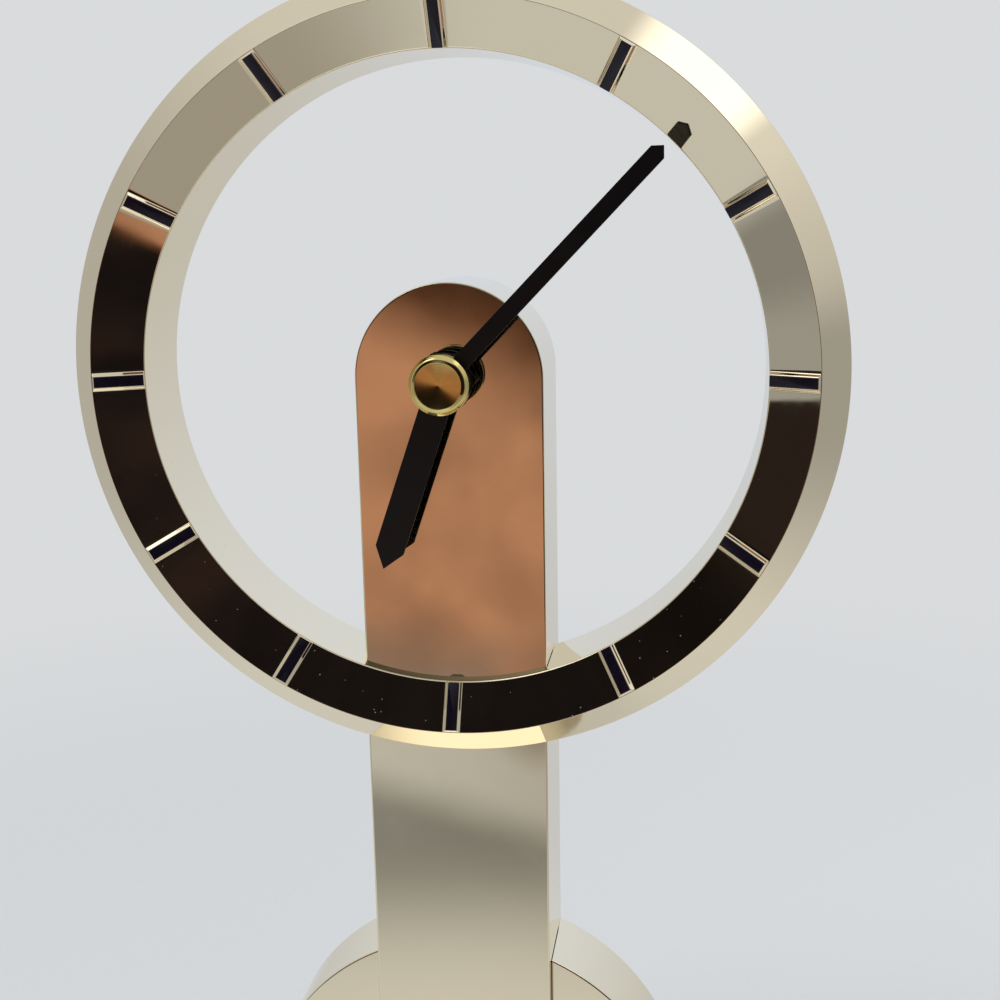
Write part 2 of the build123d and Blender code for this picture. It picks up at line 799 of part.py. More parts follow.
# Movement: levels of its case, its layers of wheels and the heights of its arbors
case_near = pillar_inner
case_far = case_near + case_depth
case_half_width = cavity_half_width - case_gap
case_inner_half_width = case_half_width - case_wall
case_foot = dial_height - case_drop
front_wall = case_near + case_wall
back_wall = case_far - case_wall
pivot_near = front_wall - pivot_depth
pivot_far = back_wall + pivot_depth
layers = []
for level in range(7):
    layers.append(front_wall + first_layer_gap + level * layer_pitch)
hour_layer, motion_layer, centre_layer, third_layer, second_layer, middle_layer, rotor_layer = layers
reverse_height = dial_height + reverse_rise
third_height = dial_height - centre_module * (centre_teeth + third_pinion_teeth) / 2
second_height = third_height - centre_module * (third_teeth + second_pinion_teeth) / 2
middle_height = second_height - motor_module * (second_teeth + middle_pinion_teeth) / 2
rotor_level = middle_height - motor_module * (middle_teeth + rotor_pinion_teeth) / 2
arbor_heights = (third_height, second_height, middle_height, rotor_level)
bushing_near = pillar_near - washer_thickness - nut_height - bushing_stand
stator_near = rotor_layer + side_gap
stator_top = rotor_level + stator_rise
coil_height = rotor_level - coil_drop
stator_foot = coil_height - stator_thickness
leg_width = stator_half_width - coil_length / 2
post_radius = pivot_radius + arbor_radius
post_x = stator_half_width - post_radius
board_x = board_offset + board_width / 2
board_level = dial_height - board_drop
board_post_rise = board_height / 3
pointing_down = -90
pointing_up = 90


def arbor(height, near, far, radius=arbor_radius, x=0):
    """Plain shaft between two depths."""
    disc(near, far - near, radius, height, x)


def half_step(teeth):
    """Half of a tooth's pitch, in degrees."""
    return 180 / teeth


with BuildPart() as movement_front:
    with BuildSketch(upright(case_near + case_split)) as outer:
        stadium(case_half_width, case_foot)
    extrude(outer.sketch, amount=case_split)
    with BuildSketch(upright(case_near + case_split)) as inner:
        stadium(case_inner_half_width, case_foot + case_wall)
    extrude(inner.sketch, amount=case_split - case_wall, mode=Mode.SUBTRACT)
    disc(bushing_near, front_wall - bushing_near, bushing_radius)
    disc(bushing_near, front_wall - bushing_near, hour_pipe_radius + run_gap, mode=Mode.SUBTRACT)
    arbor(reverse_height, front_wall, motion_layer + wheel_thickness)
    for height in arbor_heights:
        disc(pivot_near, pivot_depth, arbor_radius + run_gap, height, mode=Mode.SUBTRACT)
    disc(pivot_near, pivot_depth, arbor_radius + run_gap, setting_height, setting_x, mode=Mode.SUBTRACT)
finish(movement_front, "movement_front")

with BuildPart() as movement_back:
    with BuildSketch(upright(case_far)) as outer:
        stadium(case_half_width, case_foot)
    extrude(outer.sketch, amount=case_depth - case_split)
    with BuildSketch(upright(back_wall)) as inner:
        stadium(case_inner_half_width, case_foot + case_wall)
    extrude(inner.sketch, amount=case_depth - case_split - case_wall, mode=Mode.SUBTRACT)
    for side in (-1, 1):
        post_near = stator_near + stator_thickness
        disc(post_near, back_wall - post_near, post_radius, middle_height - leg_width, side * post_x)
        post_near = rotor_layer + board_thickness
        post_height = board_level + side * board_post_rise
        disc(post_near, back_wall - post_near, post_radius, post_height, board_x + post_radius)
    for height in arbor_heights:
        disc(back_wall, pivot_depth, arbor_radius + run_gap, height, mode=Mode.SUBTRACT)
    disc(back_wall, pivot_depth, arbor_radius + run_gap, mode=Mode.SUBTRACT)
    disc(back_wall, case_wall, setting_shaft_radius + run_gap, setting_height, setting_x,
         mode=Mode.SUBTRACT)
finish(movement_back, "movement_back")

# Washer and nut that hold the movement in the pillar
with BuildPart() as washer:
    disc(pillar_near - washer_thickness, washer_thickness, washer_radius,
         bore=bushing_radius + thread_gap)
finish(washer, "washer")

with BuildPart() as hex_nut:
    with BuildSketch(upright(pillar_near - washer_thickness)):
        RegularPolygon(nut_flats / 2, 6, major_radius=False)
        Circle(bushing_radius + thread_gap, mode=Mode.SUBTRACT)
    extrude(amount=nut_height)
finish(hex_nut, "hex_nut")

# Motion work: the minute pipe with its pinion, the hour wheel, the reverse wheel and the setting shaft
with BuildPart() as minute_pipe:
    pipe_near = minute_hand_near - minute_pipe_stand
    arbor(dial_height, pipe_near, motion_layer, minute_pipe_radius - run_gap)
    disc(pipe_near, cap_pin_length + seat_gap, cap_pin_radius + thread_gap, mode=Mode.SUBTRACT)
    gear(motion_layer, cannon_teeth, motion_module, pointing_up, dial_height)
    arbor(dial_height, motion_layer, centre_layer + wheel_thickness, centre_arbor_radius)
    arbor(dial_height, centre_layer, pivot_far - run_gap)
finish(minute_pipe, "minute_pipe")

with BuildPart() as hour_wheel:
    arbor(dial_height, hour_hand_near, hour_layer, hour_pipe_radius)
    gear(hour_layer, hour_teeth, motion_module, pointing_up, dial_height)
    disc(hour_hand_near, hour_layer + wheel_thickness - hour_hand_near, minute_pipe_radius,
         mode=Mode.SUBTRACT)
finish(hour_wheel, "hour_wheel")

with BuildPart() as reverse_wheel:
    gear(hour_layer, reverse_pinion_teeth, motion_module, pointing_down + half_step(reverse_pinion_teeth),
         reverse_height)
    arbor(reverse_height, hour_layer, motion_layer, motion_module * (reverse_pinion_teeth / 2 - 1))
    gear(motion_layer, reverse_teeth, motion_module, pointing_down + half_step(reverse_teeth),
         reverse_height)
    disc(hour_layer, layer_pitch + wheel_thickness, arbor_radius + run_gap, reverse_height,
         mode=Mode.SUBTRACT)
finish(reverse_wheel, "reverse_wheel")

# A tooth of the reverse wheel that lies past the line of centres meets a gap of the setting pinion
reverse_phase = pointing_down + half_step(reverse_teeth)
tooth_offset = (setting_angle - reverse_phase) / (2 * half_step(reverse_teeth))
setting_phase = 180 + setting_angle + (2 * tooth_offset + 1) * half_step(setting_teeth)
with BuildPart() as setting_shaft:
    arbor(setting_height, pivot_near + run_gap, motion_layer, arbor_radius, setting_x)
    gear(motion_layer, setting_teeth, motion_module, setting_phase, setting_height, setting_x)
    arbor(setting_height, motion_layer + wheel_thickness, pillar_far + knob_stand, setting_shaft_radius,
          setting_x)
finish(setting_shaft, "setting_shaft")

with BuildPart() as setting_knob:
    knob_near = pillar_far + knob_stand
    disc(knob_near, knob_length, knob_radius, setting_height, setting_x)
    knob_face = setting_knob.faces().sort_by(Axis.Y)[-1]
    chamfer(knob_face.edges(), knob_groove_radius)
    with BuildSketch(upright(knob_near + knob_length, setting_height, setting_x)) as grooves:
        with PolarLocations(knob_radius, knob_grooves):
            Circle(knob_groove_radius)
    extrude(grooves.sketch, amount=knob_length, mode=Mode.SUBTRACT)
finish(setting_knob, "setting_knob")

# Running train, from the rotor up to the friction-driven centre wheel
with BuildPart() as centre_wheel:
    gear(centre_layer, centre_teeth, centre_module, pointing_down, dial_height)
    disc(centre_layer, wheel_thickness, centre_arbor_radius + run_gap, mode=Mode.SUBTRACT)
finish(centre_wheel, "centre_wheel")

with BuildPart() as third_wheel:
    arbor(third_height, pivot_near + run_gap, pivot_far - run_gap)
    gear(centre_layer, third_pinion_teeth, centre_module, pointing_up + half_step(third_pinion_teeth),
         third_height)
    gear(third_layer, third_teeth, centre_module, pointing_down, third_height)
finish(third_wheel, "third_wheel")

with BuildPart() as second_wheel:
    arbor(second_height, pivot_near + run_gap, pivot_far - run_gap)
    gear(third_layer, second_pinion_teeth, centre_module, pointing_up + half_step(second_pinion_teeth),
         second_height)
    gear(second_layer, second_teeth, motor_module, pointing_down, second_height)
finish(second_wheel, "second_wheel")

with BuildPart() as middle_wheel:
    arbor(middle_height, pivot_near + run_gap, pivot_far - run_gap)
    gear(second_layer, middle_pinion_teeth, motor_module, pointing_up + half_step(middle_pinion_teeth),
         middle_height)
    gear(middle_layer, middle_teeth, motor_module, pointing_down, middle_height)
finish(middle_wheel, "middle_wheel")

with BuildPart() as rotor:
    arbor(rotor_level, pivot_near + run_gap, pivot_far - run_gap)
    gear(middle_layer, rotor_pinion_teeth, motor_module, pointing_up + half_step(rotor_pinion_teeth),
         rotor_level)
finish(rotor, "rotor")

with BuildPart() as rotor_magnet:
    disc(rotor_layer, rotor_height, rotor_radius, rotor_level, bore=arbor_radius + thread_gap)
finish(rotor_magnet, "rotor_magnet")

# Stator with its legs and core, the coil on the core, and the board
with BuildPart() as stator:
    slab(stator_near, stator_thickness, 2 * stator_half_width, stator_top, stator_foot)
    slab(stator_near, stator_thickness, coil_length + 2 * seat_gap, coil_height + coil_radius
         + side_gap, stator_foot, mode=Mode.SUBTRACT)
    slab(stator_near, stator_thickness, coil_length + 2 * seat_gap, coil_height + coil_core_radius,
         coil_height - coil_core_radius)
    disc(stator_near, stator_thickness, rotor_radius + rotor_gap, rotor_level,
         mode=Mode.SUBTRACT)
finish(stator, "stator")

with BuildPart() as motor_coil:
    coil_end = (-coil_length / 2, ridge_y + stator_near + stator_thickness / 2, coil_height)
    with BuildSketch(Plane(origin=coil_end, x_dir=(0, 1, 0), z_dir=(1, 0, 0))):
        Circle(coil_radius)
        Circle(hypot(coil_core_radius, stator_thickness / 2) + thread_gap, mode=Mode.SUBTRACT)
    extrude(amount=coil_length)
finish(motor_coil, "motor_coil")

with BuildPart() as circuit_board:
    slab(rotor_layer, board_thickness, board_width, board_level + board_height / 2,
         board_level - board_height / 2, board_x)
finish(circuit_board, "circuit_board")

with BuildPart() as clock_chip:
    slab(rotor_layer + board_thickness, chip_height, chip_size, board_level + chip_size / 2,
         board_level - chip_size / 2, board_x - post_radius)
finish(clock_chip, "clock_chip")

with BuildPart() as quartz_crystal:
    crystal_end = (board_x - post_radius, ridge_y + rotor_layer + board_thickness + crystal_radius,
                   board_level + chip_size)
    with BuildSketch(Plane(origin=crystal_end)):
        Circle(crystal_radius)
    extrude(amount=crystal_length)
    fillet(quartz_crystal.edges().sort_by(Axis.Z)[-1], crystal_radius / 2)
finish(quartz_crystal, "quartz_crystal")

# Hands and the cap that closes them
cap_near = minute_hand_near - minute_pipe_stand - cap_height


def hand(length, width, point, angle, near):
    """Bar hand with a pointed tip and a round hub, turned clockwise from twelve."""
    with BuildSketch(upright(near + hand_thickness)) as profile:
        with BuildLine(Rotation(0, 0, -angle)) as outline:
            Polyline(
                (-width / 2, 0),
                (-width / 2, length - point),
                (0, length),
                (width / 2, length - point),
                (width / 2, 0),
                close=True,
            )
        make_face(outline.edges())
        Circle(hand_hub_radius)
    extrude(profile.sketch, amount=hand_thickness)


with BuildPart() as hour_hand:
    hand(hour_hand_length, hour_hand_width, hour_point, hour_hand_angle, hour_hand_near)
    disc(hour_hand_near + hand_thickness, hand_collar_length, hour_pipe_radius + hand_collar_wall)
    disc(hour_hand_near, hand_thickness + hand_collar_length, hour_pipe_radius + thread_gap,
         mode=Mode.SUBTRACT)
finish(hour_hand, "hour_hand")

with BuildPart() as minute_hand:
    hand(minute_hand_length, minute_hand_width, minute_point, minute_hand_angle, minute_hand_near)
    disc(minute_hand_near + hand_thickness, hand_collar_length, minute_pipe_radius + hand_collar_wall)
    disc(minute_hand_near, hand_thickness + hand_collar_length, minute_pipe_radius + thread_gap,
         mode=Mode.SUBTRACT)
finish(minute_hand, "minute_hand")

with BuildPart() as hub_cap:
    with BuildSketch(section()):
        with BuildLine():
            dish_radius = cap_radius - cap_rim_width
            Line((0, cap_near + cap_height), (cap_radius, cap_near + cap_height))
            Line((cap_radius, cap_near + cap_height), (cap_radius, cap_near + cap_edge_round))
            Line((cap_radius, cap_near + cap_edge_round), (cap_radius - cap_edge_round, cap_near))
            Line((cap_radius - cap_edge_round, cap_near), (dish_radius, cap_near + cap_edge_round / 2))
            Line((dish_radius, cap_near + cap_edge_round / 2), (0, cap_near + cap_dish_depth))
            Line((0, cap_near + cap_dish_depth), (0, cap_near + cap_height))
        make_face()
    revolve(axis=dial_axis)
    disc(cap_near + cap_height, cap_pin_length, cap_pin_radius)
finish(hub_cap, "hub_cap")

# Pendulum: bracket and pin under the movement, then the hanger, rod and bob
pivot_height = dial_height - pivot_drop
bracket_near = rod_depth + hanger_thickness / 2 + drive_coil_thickness + 2 * side_gap
hanger_near = rod_depth - hanger_thickness / 2
pin_head = hanger_thickness / 4
pin_near = hanger_near - side_gap
magnet_height = pivot_height - magnet_drop
socket_top = pivot_height - hanger_reach
socket_length = hanger_eye_radius * 2
rod_end_height = drum_height + bob_radius / 2

with BuildPart() as pendulum_bracket:
    slab(bracket_near, bracket_thickness, bracket_width, case_foot, case_foot - bracket_drop)
    disc(bracket_near, bracket_thickness, pivot_radius + thread_gap, pivot_height, mode=Mode.SUBTRACT)
finish(pendulum_bracket, "pendulum_bracket")

with BuildPart() as pivot_pin:
    disc(pin_near, bracket_near + bracket_thickness - pin_near, pivot_radius, pivot_height)
    disc(pin_near - pin_head, pin_head, hanger_eye_radius / 2, pivot_height)
finish(pivot_pin, "pivot_pin")

with BuildPart() as pendulum_coil:
    disc(bracket_near - drive_coil_thickness, drive_coil_thickness, drive_coil_radius, magnet_height,
         bore=drive_coil_bore)
finish(pendulum_coil, "pendulum_coil")

with BuildPart() as pendulum_hanger:
    disc(hanger_near, hanger_thickness, hanger_eye_radius, pivot_height)
    slab(hanger_near, hanger_thickness, hanger_width, pivot_height - hanger_eye_radius / 2, socket_top)
    disc(hanger_near, hanger_thickness, pivot_radius + run_gap, pivot_height, mode=Mode.SUBTRACT)
    disc(hanger_near, hanger_thickness, magnet_radius + thread_gap, magnet_height, mode=Mode.SUBTRACT)
    with BuildSketch(Plane(origin=(0, ridge_y + rod_depth, socket_top - socket_length))) as socket:
        Circle(rod_radius + hanger_thickness / 2)
    extrude(socket.sketch, amount=socket_length)
    with BuildSketch(Plane(origin=(0, ridge_y + rod_depth, socket_top - socket_length))) as bore:
        Circle(rod_radius + thread_gap)
    extrude(bore.sketch, amount=socket_length - hanger_thickness / 2, mode=Mode.SUBTRACT)
finish(pendulum_hanger, "pendulum_hanger")

with BuildPart() as drive_magnet:
    disc(hanger_near + seat_gap, magnet_thickness, magnet_radius, magnet_height)
finish(drive_magnet, "drive_magnet")

# Rod: straight down the front of the pillar, then cranked back to the middle of the window
rod_top_height = socket_top - hanger_thickness / 2 - thread_gap
with BuildPart() as pendulum_rod:
    with BuildLine() as rod_line:
        FilletPolyline(
            (0, ridge_y + rod_depth, rod_top_height),
            (0, ridge_y + rod_depth, dial_height - crank_top_drop),
            (0, ridge_y + drum_mid, dial_height - crank_end_drop),
            (0, ridge_y + drum_mid, rod_end_height),
            radius=rod_bend,
        )
    with BuildSketch(Plane(origin=rod_line.line @ 0, z_dir=rod_line.line % 0)):
        Circle(rod_radius)
    sweep()
finish(pendulum_rod, "pendulum_rod")

bob_near = drum_mid - bob_thickness / 2
bob_far = drum_mid + bob_thickness / 2
with BuildPart() as bob_front:
    with BuildSketch(section(drum_height)):
        with BuildLine():
            dish_edge = bob_radius - bob_rim_width
            body_far = bob_far - bob_back_thickness
            Line((0, body_far), (bob_radius, body_far))
            Line((bob_radius, body_far), (bob_radius, bob_near + cap_edge_round))
            Line((bob_radius, bob_near + cap_edge_round), (bob_radius - cap_edge_round, bob_near))
            Line((bob_radius - cap_edge_round, bob_near), (dish_edge, bob_near + cap_edge_round / 2))
            Line((dish_edge, bob_near + cap_edge_round / 2), (0, bob_near + bob_dish_depth))
            Line((0, bob_near + bob_dish_depth), (0, body_far))
        make_face()
    revolve(axis=drum_axis)
    with BuildSketch(Plane(origin=(0, ridge_y + drum_mid, rod_end_height - thread_gap))):
        Circle(rod_radius + thread_gap)
    extrude(amount=bob_radius, mode=Mode.SUBTRACT)
finish(bob_front, "bob_front")

with BuildPart() as bob_back:
    disc(bob_far - bob_back_thickness, bob_back_thickness, bob_radius - cap_edge_round, drum_height)
    chamfer(bob_back.faces().sort_by(Axis.Y)[-1].edges(), cap_edge_round)
finish(bob_back, "bob_back")
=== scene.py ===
from functools import partial
from math import asin, cos, hypot, pi, radians, sin, tan

import bmesh
import bpy
from mathutils import Matrix, Vector


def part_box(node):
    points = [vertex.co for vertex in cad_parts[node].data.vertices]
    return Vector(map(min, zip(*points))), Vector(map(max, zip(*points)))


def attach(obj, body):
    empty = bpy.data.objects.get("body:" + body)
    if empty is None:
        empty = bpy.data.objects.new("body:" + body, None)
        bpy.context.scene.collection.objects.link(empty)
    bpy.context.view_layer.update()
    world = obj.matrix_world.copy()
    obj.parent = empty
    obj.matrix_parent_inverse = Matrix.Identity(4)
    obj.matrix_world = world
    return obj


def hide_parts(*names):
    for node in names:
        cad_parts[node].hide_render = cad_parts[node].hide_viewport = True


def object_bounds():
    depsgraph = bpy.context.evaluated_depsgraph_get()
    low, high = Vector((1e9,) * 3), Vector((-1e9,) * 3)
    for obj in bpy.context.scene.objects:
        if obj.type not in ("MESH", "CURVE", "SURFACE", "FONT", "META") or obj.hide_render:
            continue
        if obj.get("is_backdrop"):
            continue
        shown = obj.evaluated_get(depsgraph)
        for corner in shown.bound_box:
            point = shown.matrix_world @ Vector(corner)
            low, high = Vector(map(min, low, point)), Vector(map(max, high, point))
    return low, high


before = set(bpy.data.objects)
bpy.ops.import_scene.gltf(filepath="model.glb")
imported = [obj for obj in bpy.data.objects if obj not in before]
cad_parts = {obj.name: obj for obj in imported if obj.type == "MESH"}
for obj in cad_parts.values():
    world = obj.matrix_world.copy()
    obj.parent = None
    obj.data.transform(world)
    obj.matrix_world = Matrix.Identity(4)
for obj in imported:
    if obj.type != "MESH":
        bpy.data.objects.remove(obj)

bl_info = {
    "name": "Desk Pendulum Clock",
    "version": (1, 0, 0),
    "blender": (4, 5, 0),
    "location": "View3D > Sidebar > Clock",
    "description": "Finishes the plated desk clock on its fixed frame and lights it for a picture",
    "category": "Add Mesh",
}

MM = 0.001

# Kinds of node that come often, and settings that go with them. Map Range takes its value, the two ends that it
# runs from and the two ends that it runs to; Noise takes its place, scale, detail and roughness.
BUMP = "ShaderNodeBump"
MATH = "ShaderNodeMath"
MIX = "ShaderNodeMix"
NOISE = "ShaderNodeTexNoise"
PRINCIPLED = "ShaderNodeBsdfPrincipled"
RANGE = "ShaderNodeMapRange"
SPLIT = "ShaderNodeSeparateXYZ"
VECTOR = "ShaderNodeVectorMath"
RGBA = {"data_type": "RGBA"}
SMOOTH = {"interpolation_type": "SMOOTHSTEP"}
LARGER = {"operation": "MAXIMUM"}
PLUS = {"operation": "ADD"}
SIZE = {"operation": "ABSOLUTE"}
TIMES = {"operation": "MULTIPLY"}


def linear(code):
    """Linear colour of an sRGB hex value."""
    channels = (int(code[start:start + 2], 16) / 255 for start in (1, 3, 5))
    return tuple(c / 12.92 if c <= 0.04045 else ((c + 0.055) / 1.055) ** 2.4 for c in channels)


def opaque(colour):
    """Colour with an alpha of 1, as a colour socket takes it."""
    return (*colour, 1)


# Places that the frame gives
RING_LOW, RING_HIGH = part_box("dial_ring")
DRUM_LOW, DRUM_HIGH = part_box("lower_ring")
PILLAR_LOW, PILLAR_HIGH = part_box("pillar_front")
PLINTH_LOW, PLINTH_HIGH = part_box("plinth")
CAP_LOW, CAP_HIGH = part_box("hub_cap")
BOB_LOW, BOB_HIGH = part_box("bob_front")
BOB_BACK_LOW, BOB_BACK_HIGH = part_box("bob_back")
RIDGE_Y = RING_LOW.y
DIAL_Z = RING_HIGH.z - RING_HIGH.x
DRUM_Z = (BOB_LOW.z + BOB_HIGH.z) / 2


def length(default_mm, name, description):
    """Length property that is shown in the scene's unit, from a size in millimetres."""
    return bpy.props.FloatProperty(name=name, description=description, default=default_mm * MM, unit="LENGTH",
                                   precision=5)


def colour(code, name, description):
    """Colour property from an sRGB hex value."""
    return bpy.props.FloatVectorProperty(name=name, description=description, default=linear(code), size=3,
                                         subtype="COLOR", min=0, max=1)


class ClockSizes(bpy.types.PropertyGroup):
    """Sizes of the pieces that are made here, next to those that the frame gives."""

    face_width: length(8.5, "Face width", "Width of the dished dial face, from its inner edge to the ridge")
    face_drop: length(4.4, "Face drop", "How far the face's inner edge lies behind the ridge")
    bevel_drop: length(5.6, "Bevel drop", "How far the bevel's outer edge lies behind the ridge")
    bevel_width: length(5.4, "Bevel width", "Width of the bevel outside the ridge")
    ring_wall: length(2, "Ring wall", "Wall of the dial ring's hollow back")
    ring_skin: length(2.3, "Ring skin", "Thickness of the ring's front")
    ridge_round: length(0.12, "Ridge rounding", "Radius that the plating leaves on the ridge")
    lip_round: length(0.4, "Lip rounding", "Radius of the face's inner edge")
    edge_round: length(0.3, "Edge rounding", "Radius of the moulded outer edges")
    bar_base_width: length(3.5, "Bar base width", "Width of a raised hour bar where it leaves the face")
    bar_width: length(1.9, "Bar width", "Width of a raised hour bar's flat top")
    bar_rise: length(0.8, "Bar rise", "Height of a bar's black top above the face")
    bar_sink: length(0.3, "Bar sink", "Depth of a bar's root in the face")
    bar_end_rim: length(0.1, "Bar end rim", "Face left bare at each end of a bar")
    bar_end_slope: length(0.25, "Bar end slope", "How far a bar's end leans in from its root to its top")
    bar_edge: length(0.09, "Bar edge", "Rounding that the plating gives a bar's edges")
    film_thickness: length(0.15, "Film thickness", "Thickness of the black film on a bar")
    hour_count: bpy.props.IntProperty(name="Hours", description="Number of hour bars", default=12, min=1)
    pillar_wall: length(1.6, "Pillar wall", "Wall of the pillar's shell")
    slot_width: length(22, "Rod slot width", "Width of the slot in the pillar that the pendulum's rod swings in")
    slot_depth: length(3.4, "Rod slot depth", "Depth of that slot, from front to back")
    window_radius: length(29, "Window radius", "Radius of the window in the lower ring")
    drum_wall: length(2, "Lower ring wall", "Wall of the lower ring's hollow back")
    seat_gap: length(0.1, "Seat gap", "Clearance between pieces that fit into each other")
    plinth_wall: length(2.5, "Plinth wall", "Wall of the plinth")
    plinth_chamfer: length(3, "Plinth chamfer", "Width of the bevel round the plinth's top")
    hand_thickness: length(0.6, "Hand thickness", "Thickness of both hands")
    hand_edge: length(0.08, "Hand edge", "Rounding of a stamped hand's edges under its lacquer")
    foot_radius: length(5, "Foot radius", "Radius of a rubber foot")


class ClockFinish(bpy.types.PropertyGroup):
    """Colours of the clock's finishes and of the stage."""

    plating: colour("#F1E4C7", "Plating", "Champagne plating, as it mirrors a white card held square to it")
    lacquer: colour("#060608", "Lacquer", "Black lacquer of the hands")
    film: colour("#0C080F", "Bar film", "Black film on the hour bars")
    brass: colour("#E6D38A", "Brass", "Turned brass of the hub cap")
    black_plastic: colour("#17171A", "Black plastic", "Covers, battery bay and knob")
    case_plastic: colour("#1B1B1F", "Case plastic", "Case of the movement")
    chip_epoxy: colour("#101012", "Chip epoxy", "Body of the clock chip")
    backdrop: colour("#D9DBDD", "Backdrop", "Paper that the clock is photographed on")
    dark_room: colour("#1A1617", "Dark room", "Unlit side of the room that the plating mirrors")
    warm_room: colour("#B5866D", "Warm room", "Wood-coloured side of the room that the plating mirrors")


def sizes():
    """Sizes that the scene holds."""
    return bpy.context.scene.clock_sizes


def finish():
    """Colours that the scene holds."""
    return bpy.context.scene.clock_finish


# Node trees

def add_node(tree, kind, inputs=(), **settings):
    """Adds a node, sets its properties, and sets or links its inputs, which are given by name, or in the order of
    its live sockets. A node given as a value stands for its first live output, and a hex value for its colour."""
    node = tree.nodes.new(kind)
    for name, value in settings.items():
        setattr(node, name, value)
    if isinstance(inputs, dict):
        pairs = [(node.inputs[name], value) for name, value in inputs.items()]
    else:
        pairs = zip((socket for socket in node.inputs if socket.enabled), inputs)
    for socket, value in pairs:
        if isinstance(value, bpy.types.Node):
            value = next(output for output in value.outputs if output.enabled)
        if isinstance(value, bpy.types.NodeSocket):
            tree.links.new(value, socket)
        else:
            socket.default_value = opaque(linear(value)) if isinstance(value, str) else value
    return node


def set_stops(ramp, stops):
    """Gives a Color Ramp node its stops, from (position, colour)."""
    elements = ramp.color_ramp.elements
    for index, (position, shade) in enumerate(stops):
        stop = elements[index] if index < len(elements) else elements.new(position)
        stop.position = position
        stop.color = opaque(linear(shade)) if isinstance(shade, str) else opaque(shade)


def new_material(name, build, *values):
    """Node material whose surface a function builds from the piece's Object coordinates and from its own values."""
    made = bpy.data.materials.new(name)
    made.use_nodes = True
    made.node_tree.nodes.clear()
    add = partial(add_node, made.node_tree)
    place = add("ShaderNodeTexCoord").outputs["Object"]
    add("ShaderNodeOutputMaterial", (build(add, place, *values),))
    return made


def plated_plastic(add, place):
    """Champagne-plated ABS. Plating over a moulded part is a mirror with a slow ripple, and dust settles on the
    faces that look up."""
    ripple_size = 9 * MM
    ripple_height = 0.006 * MM
    smudge_size = 14 * MM
    clean_roughness = 0.025
    smudged_roughness = 0.085
    ripple = add(NOISE, (place, 1 / ripple_size, 1.0))
    bump = add(BUMP, {"Height": ripple, "Distance": ripple_height})
    smudge = add(NOISE, (place, 1 / smudge_size, 5.0, 0.62))
    rough = add(RANGE, (smudge, 0.42, 0.72, clean_roughness, smudged_roughness))
    mirror = add(PRINCIPLED, {"Base Color": opaque(finish().plating), "Metallic": 1.0, "Roughness": rough,
                              "Normal": bump})

    # One cell in four holds a speck, whose size is a share of the cell's
    speck_pitch = 1.2 * MM
    speck_size = 0.095
    bare_share = 0.72
    cells = add("ShaderNodeTexVoronoi", (place, 1 / speck_pitch))
    near = add(MATH, (cells, speck_size), operation="LESS_THAN")
    chance = add("ShaderNodeSeparateColor", (cells.outputs["Color"],))
    few = add(MATH, (chance, bare_share), operation="GREATER_THAN")
    speck = add(MATH, (near, few), **TIMES)
    facing = add(SPLIT, (add("ShaderNodeNewGeometry").outputs["Normal"],))
    settled = add(RANGE, (facing.outputs["Z"], 0.05, 0.4, 0.0, 0.5))
    faint = add(MATH, (speck, settled), **TIMES)
    dust = add("ShaderNodeBsdfDiffuse", ("#C9C6BF",))
    return add("ShaderNodeMixShader", (faint, mirror, dust))


def hand_lacquer(add, place):
    """Stoved black lacquer on stamped brass: satin, with the orange peel that spraying leaves."""
    peel_size = 0.5 * MM
    peel_height = 0.004 * MM
    wear_size = 6 * MM
    peel = add(NOISE, (place, 1 / peel_size, 2.0))
    bump = add(BUMP, {"Height": peel, "Distance": peel_height})
    wear = add(NOISE, (place, 1 / wear_size, 3.0))
    rough = add(RANGE, (wear, 0.3, 0.7, 0.3, 0.42))
    return add(PRINCIPLED, {"Base Color": opaque(finish().lacquer), "Roughness": rough, "IOR": 1.4, "Normal": bump})


def bar_film(add, place):
    """Hot-stamped black film: smooth, with the plating's violet cast showing through where it is thin."""
    cast_size = 1.6 * MM
    cast = add(NOISE, (place, 1 / cast_size, 2.0))
    tint = add(MIX, (cast, opaque(finish().film), "#1B1226"), **RGBA)
    return add(PRINCIPLED, {"Base Color": tint, "Roughness": 0.24, "IOR": 1.38})


def turned_brass(add, place, centre, groove_pitch):
    """Lacquered brass off a lathe: rings round the centre, and a sheen that stretches across them."""
    groove_height = 0.002 * MM
    tarnish_size = 3 * MM
    arm = add(VECTOR, (place, -Vector(centre)), **PLUS)
    flat = add(VECTOR, (arm, (1, 0, 1)), **TIMES)
    radius = add(VECTOR, (flat,), operation="LENGTH")
    along = add(VECTOR, (flat, (0, 1, 0)), operation="CROSS_PRODUCT")
    turns = add(MATH, (radius, 2 * pi / groove_pitch), **TIMES)
    wave = add(MATH, (turns,), operation="SINE")
    bump = add(BUMP, {"Height": wave, "Distance": groove_height, "Strength": 0.6})
    tarnish = add(NOISE, (place, 1 / tarnish_size, 4.0))
    tone = add(MIX, (tarnish, opaque(finish().brass), "#D8C480"), **RGBA)
    return add(PRINCIPLED, {"Base Color": tone, "Metallic": 1.0, "Roughness": 0.09, "Anisotropic": 0.5,
                            "Tangent": along, "Normal": bump})


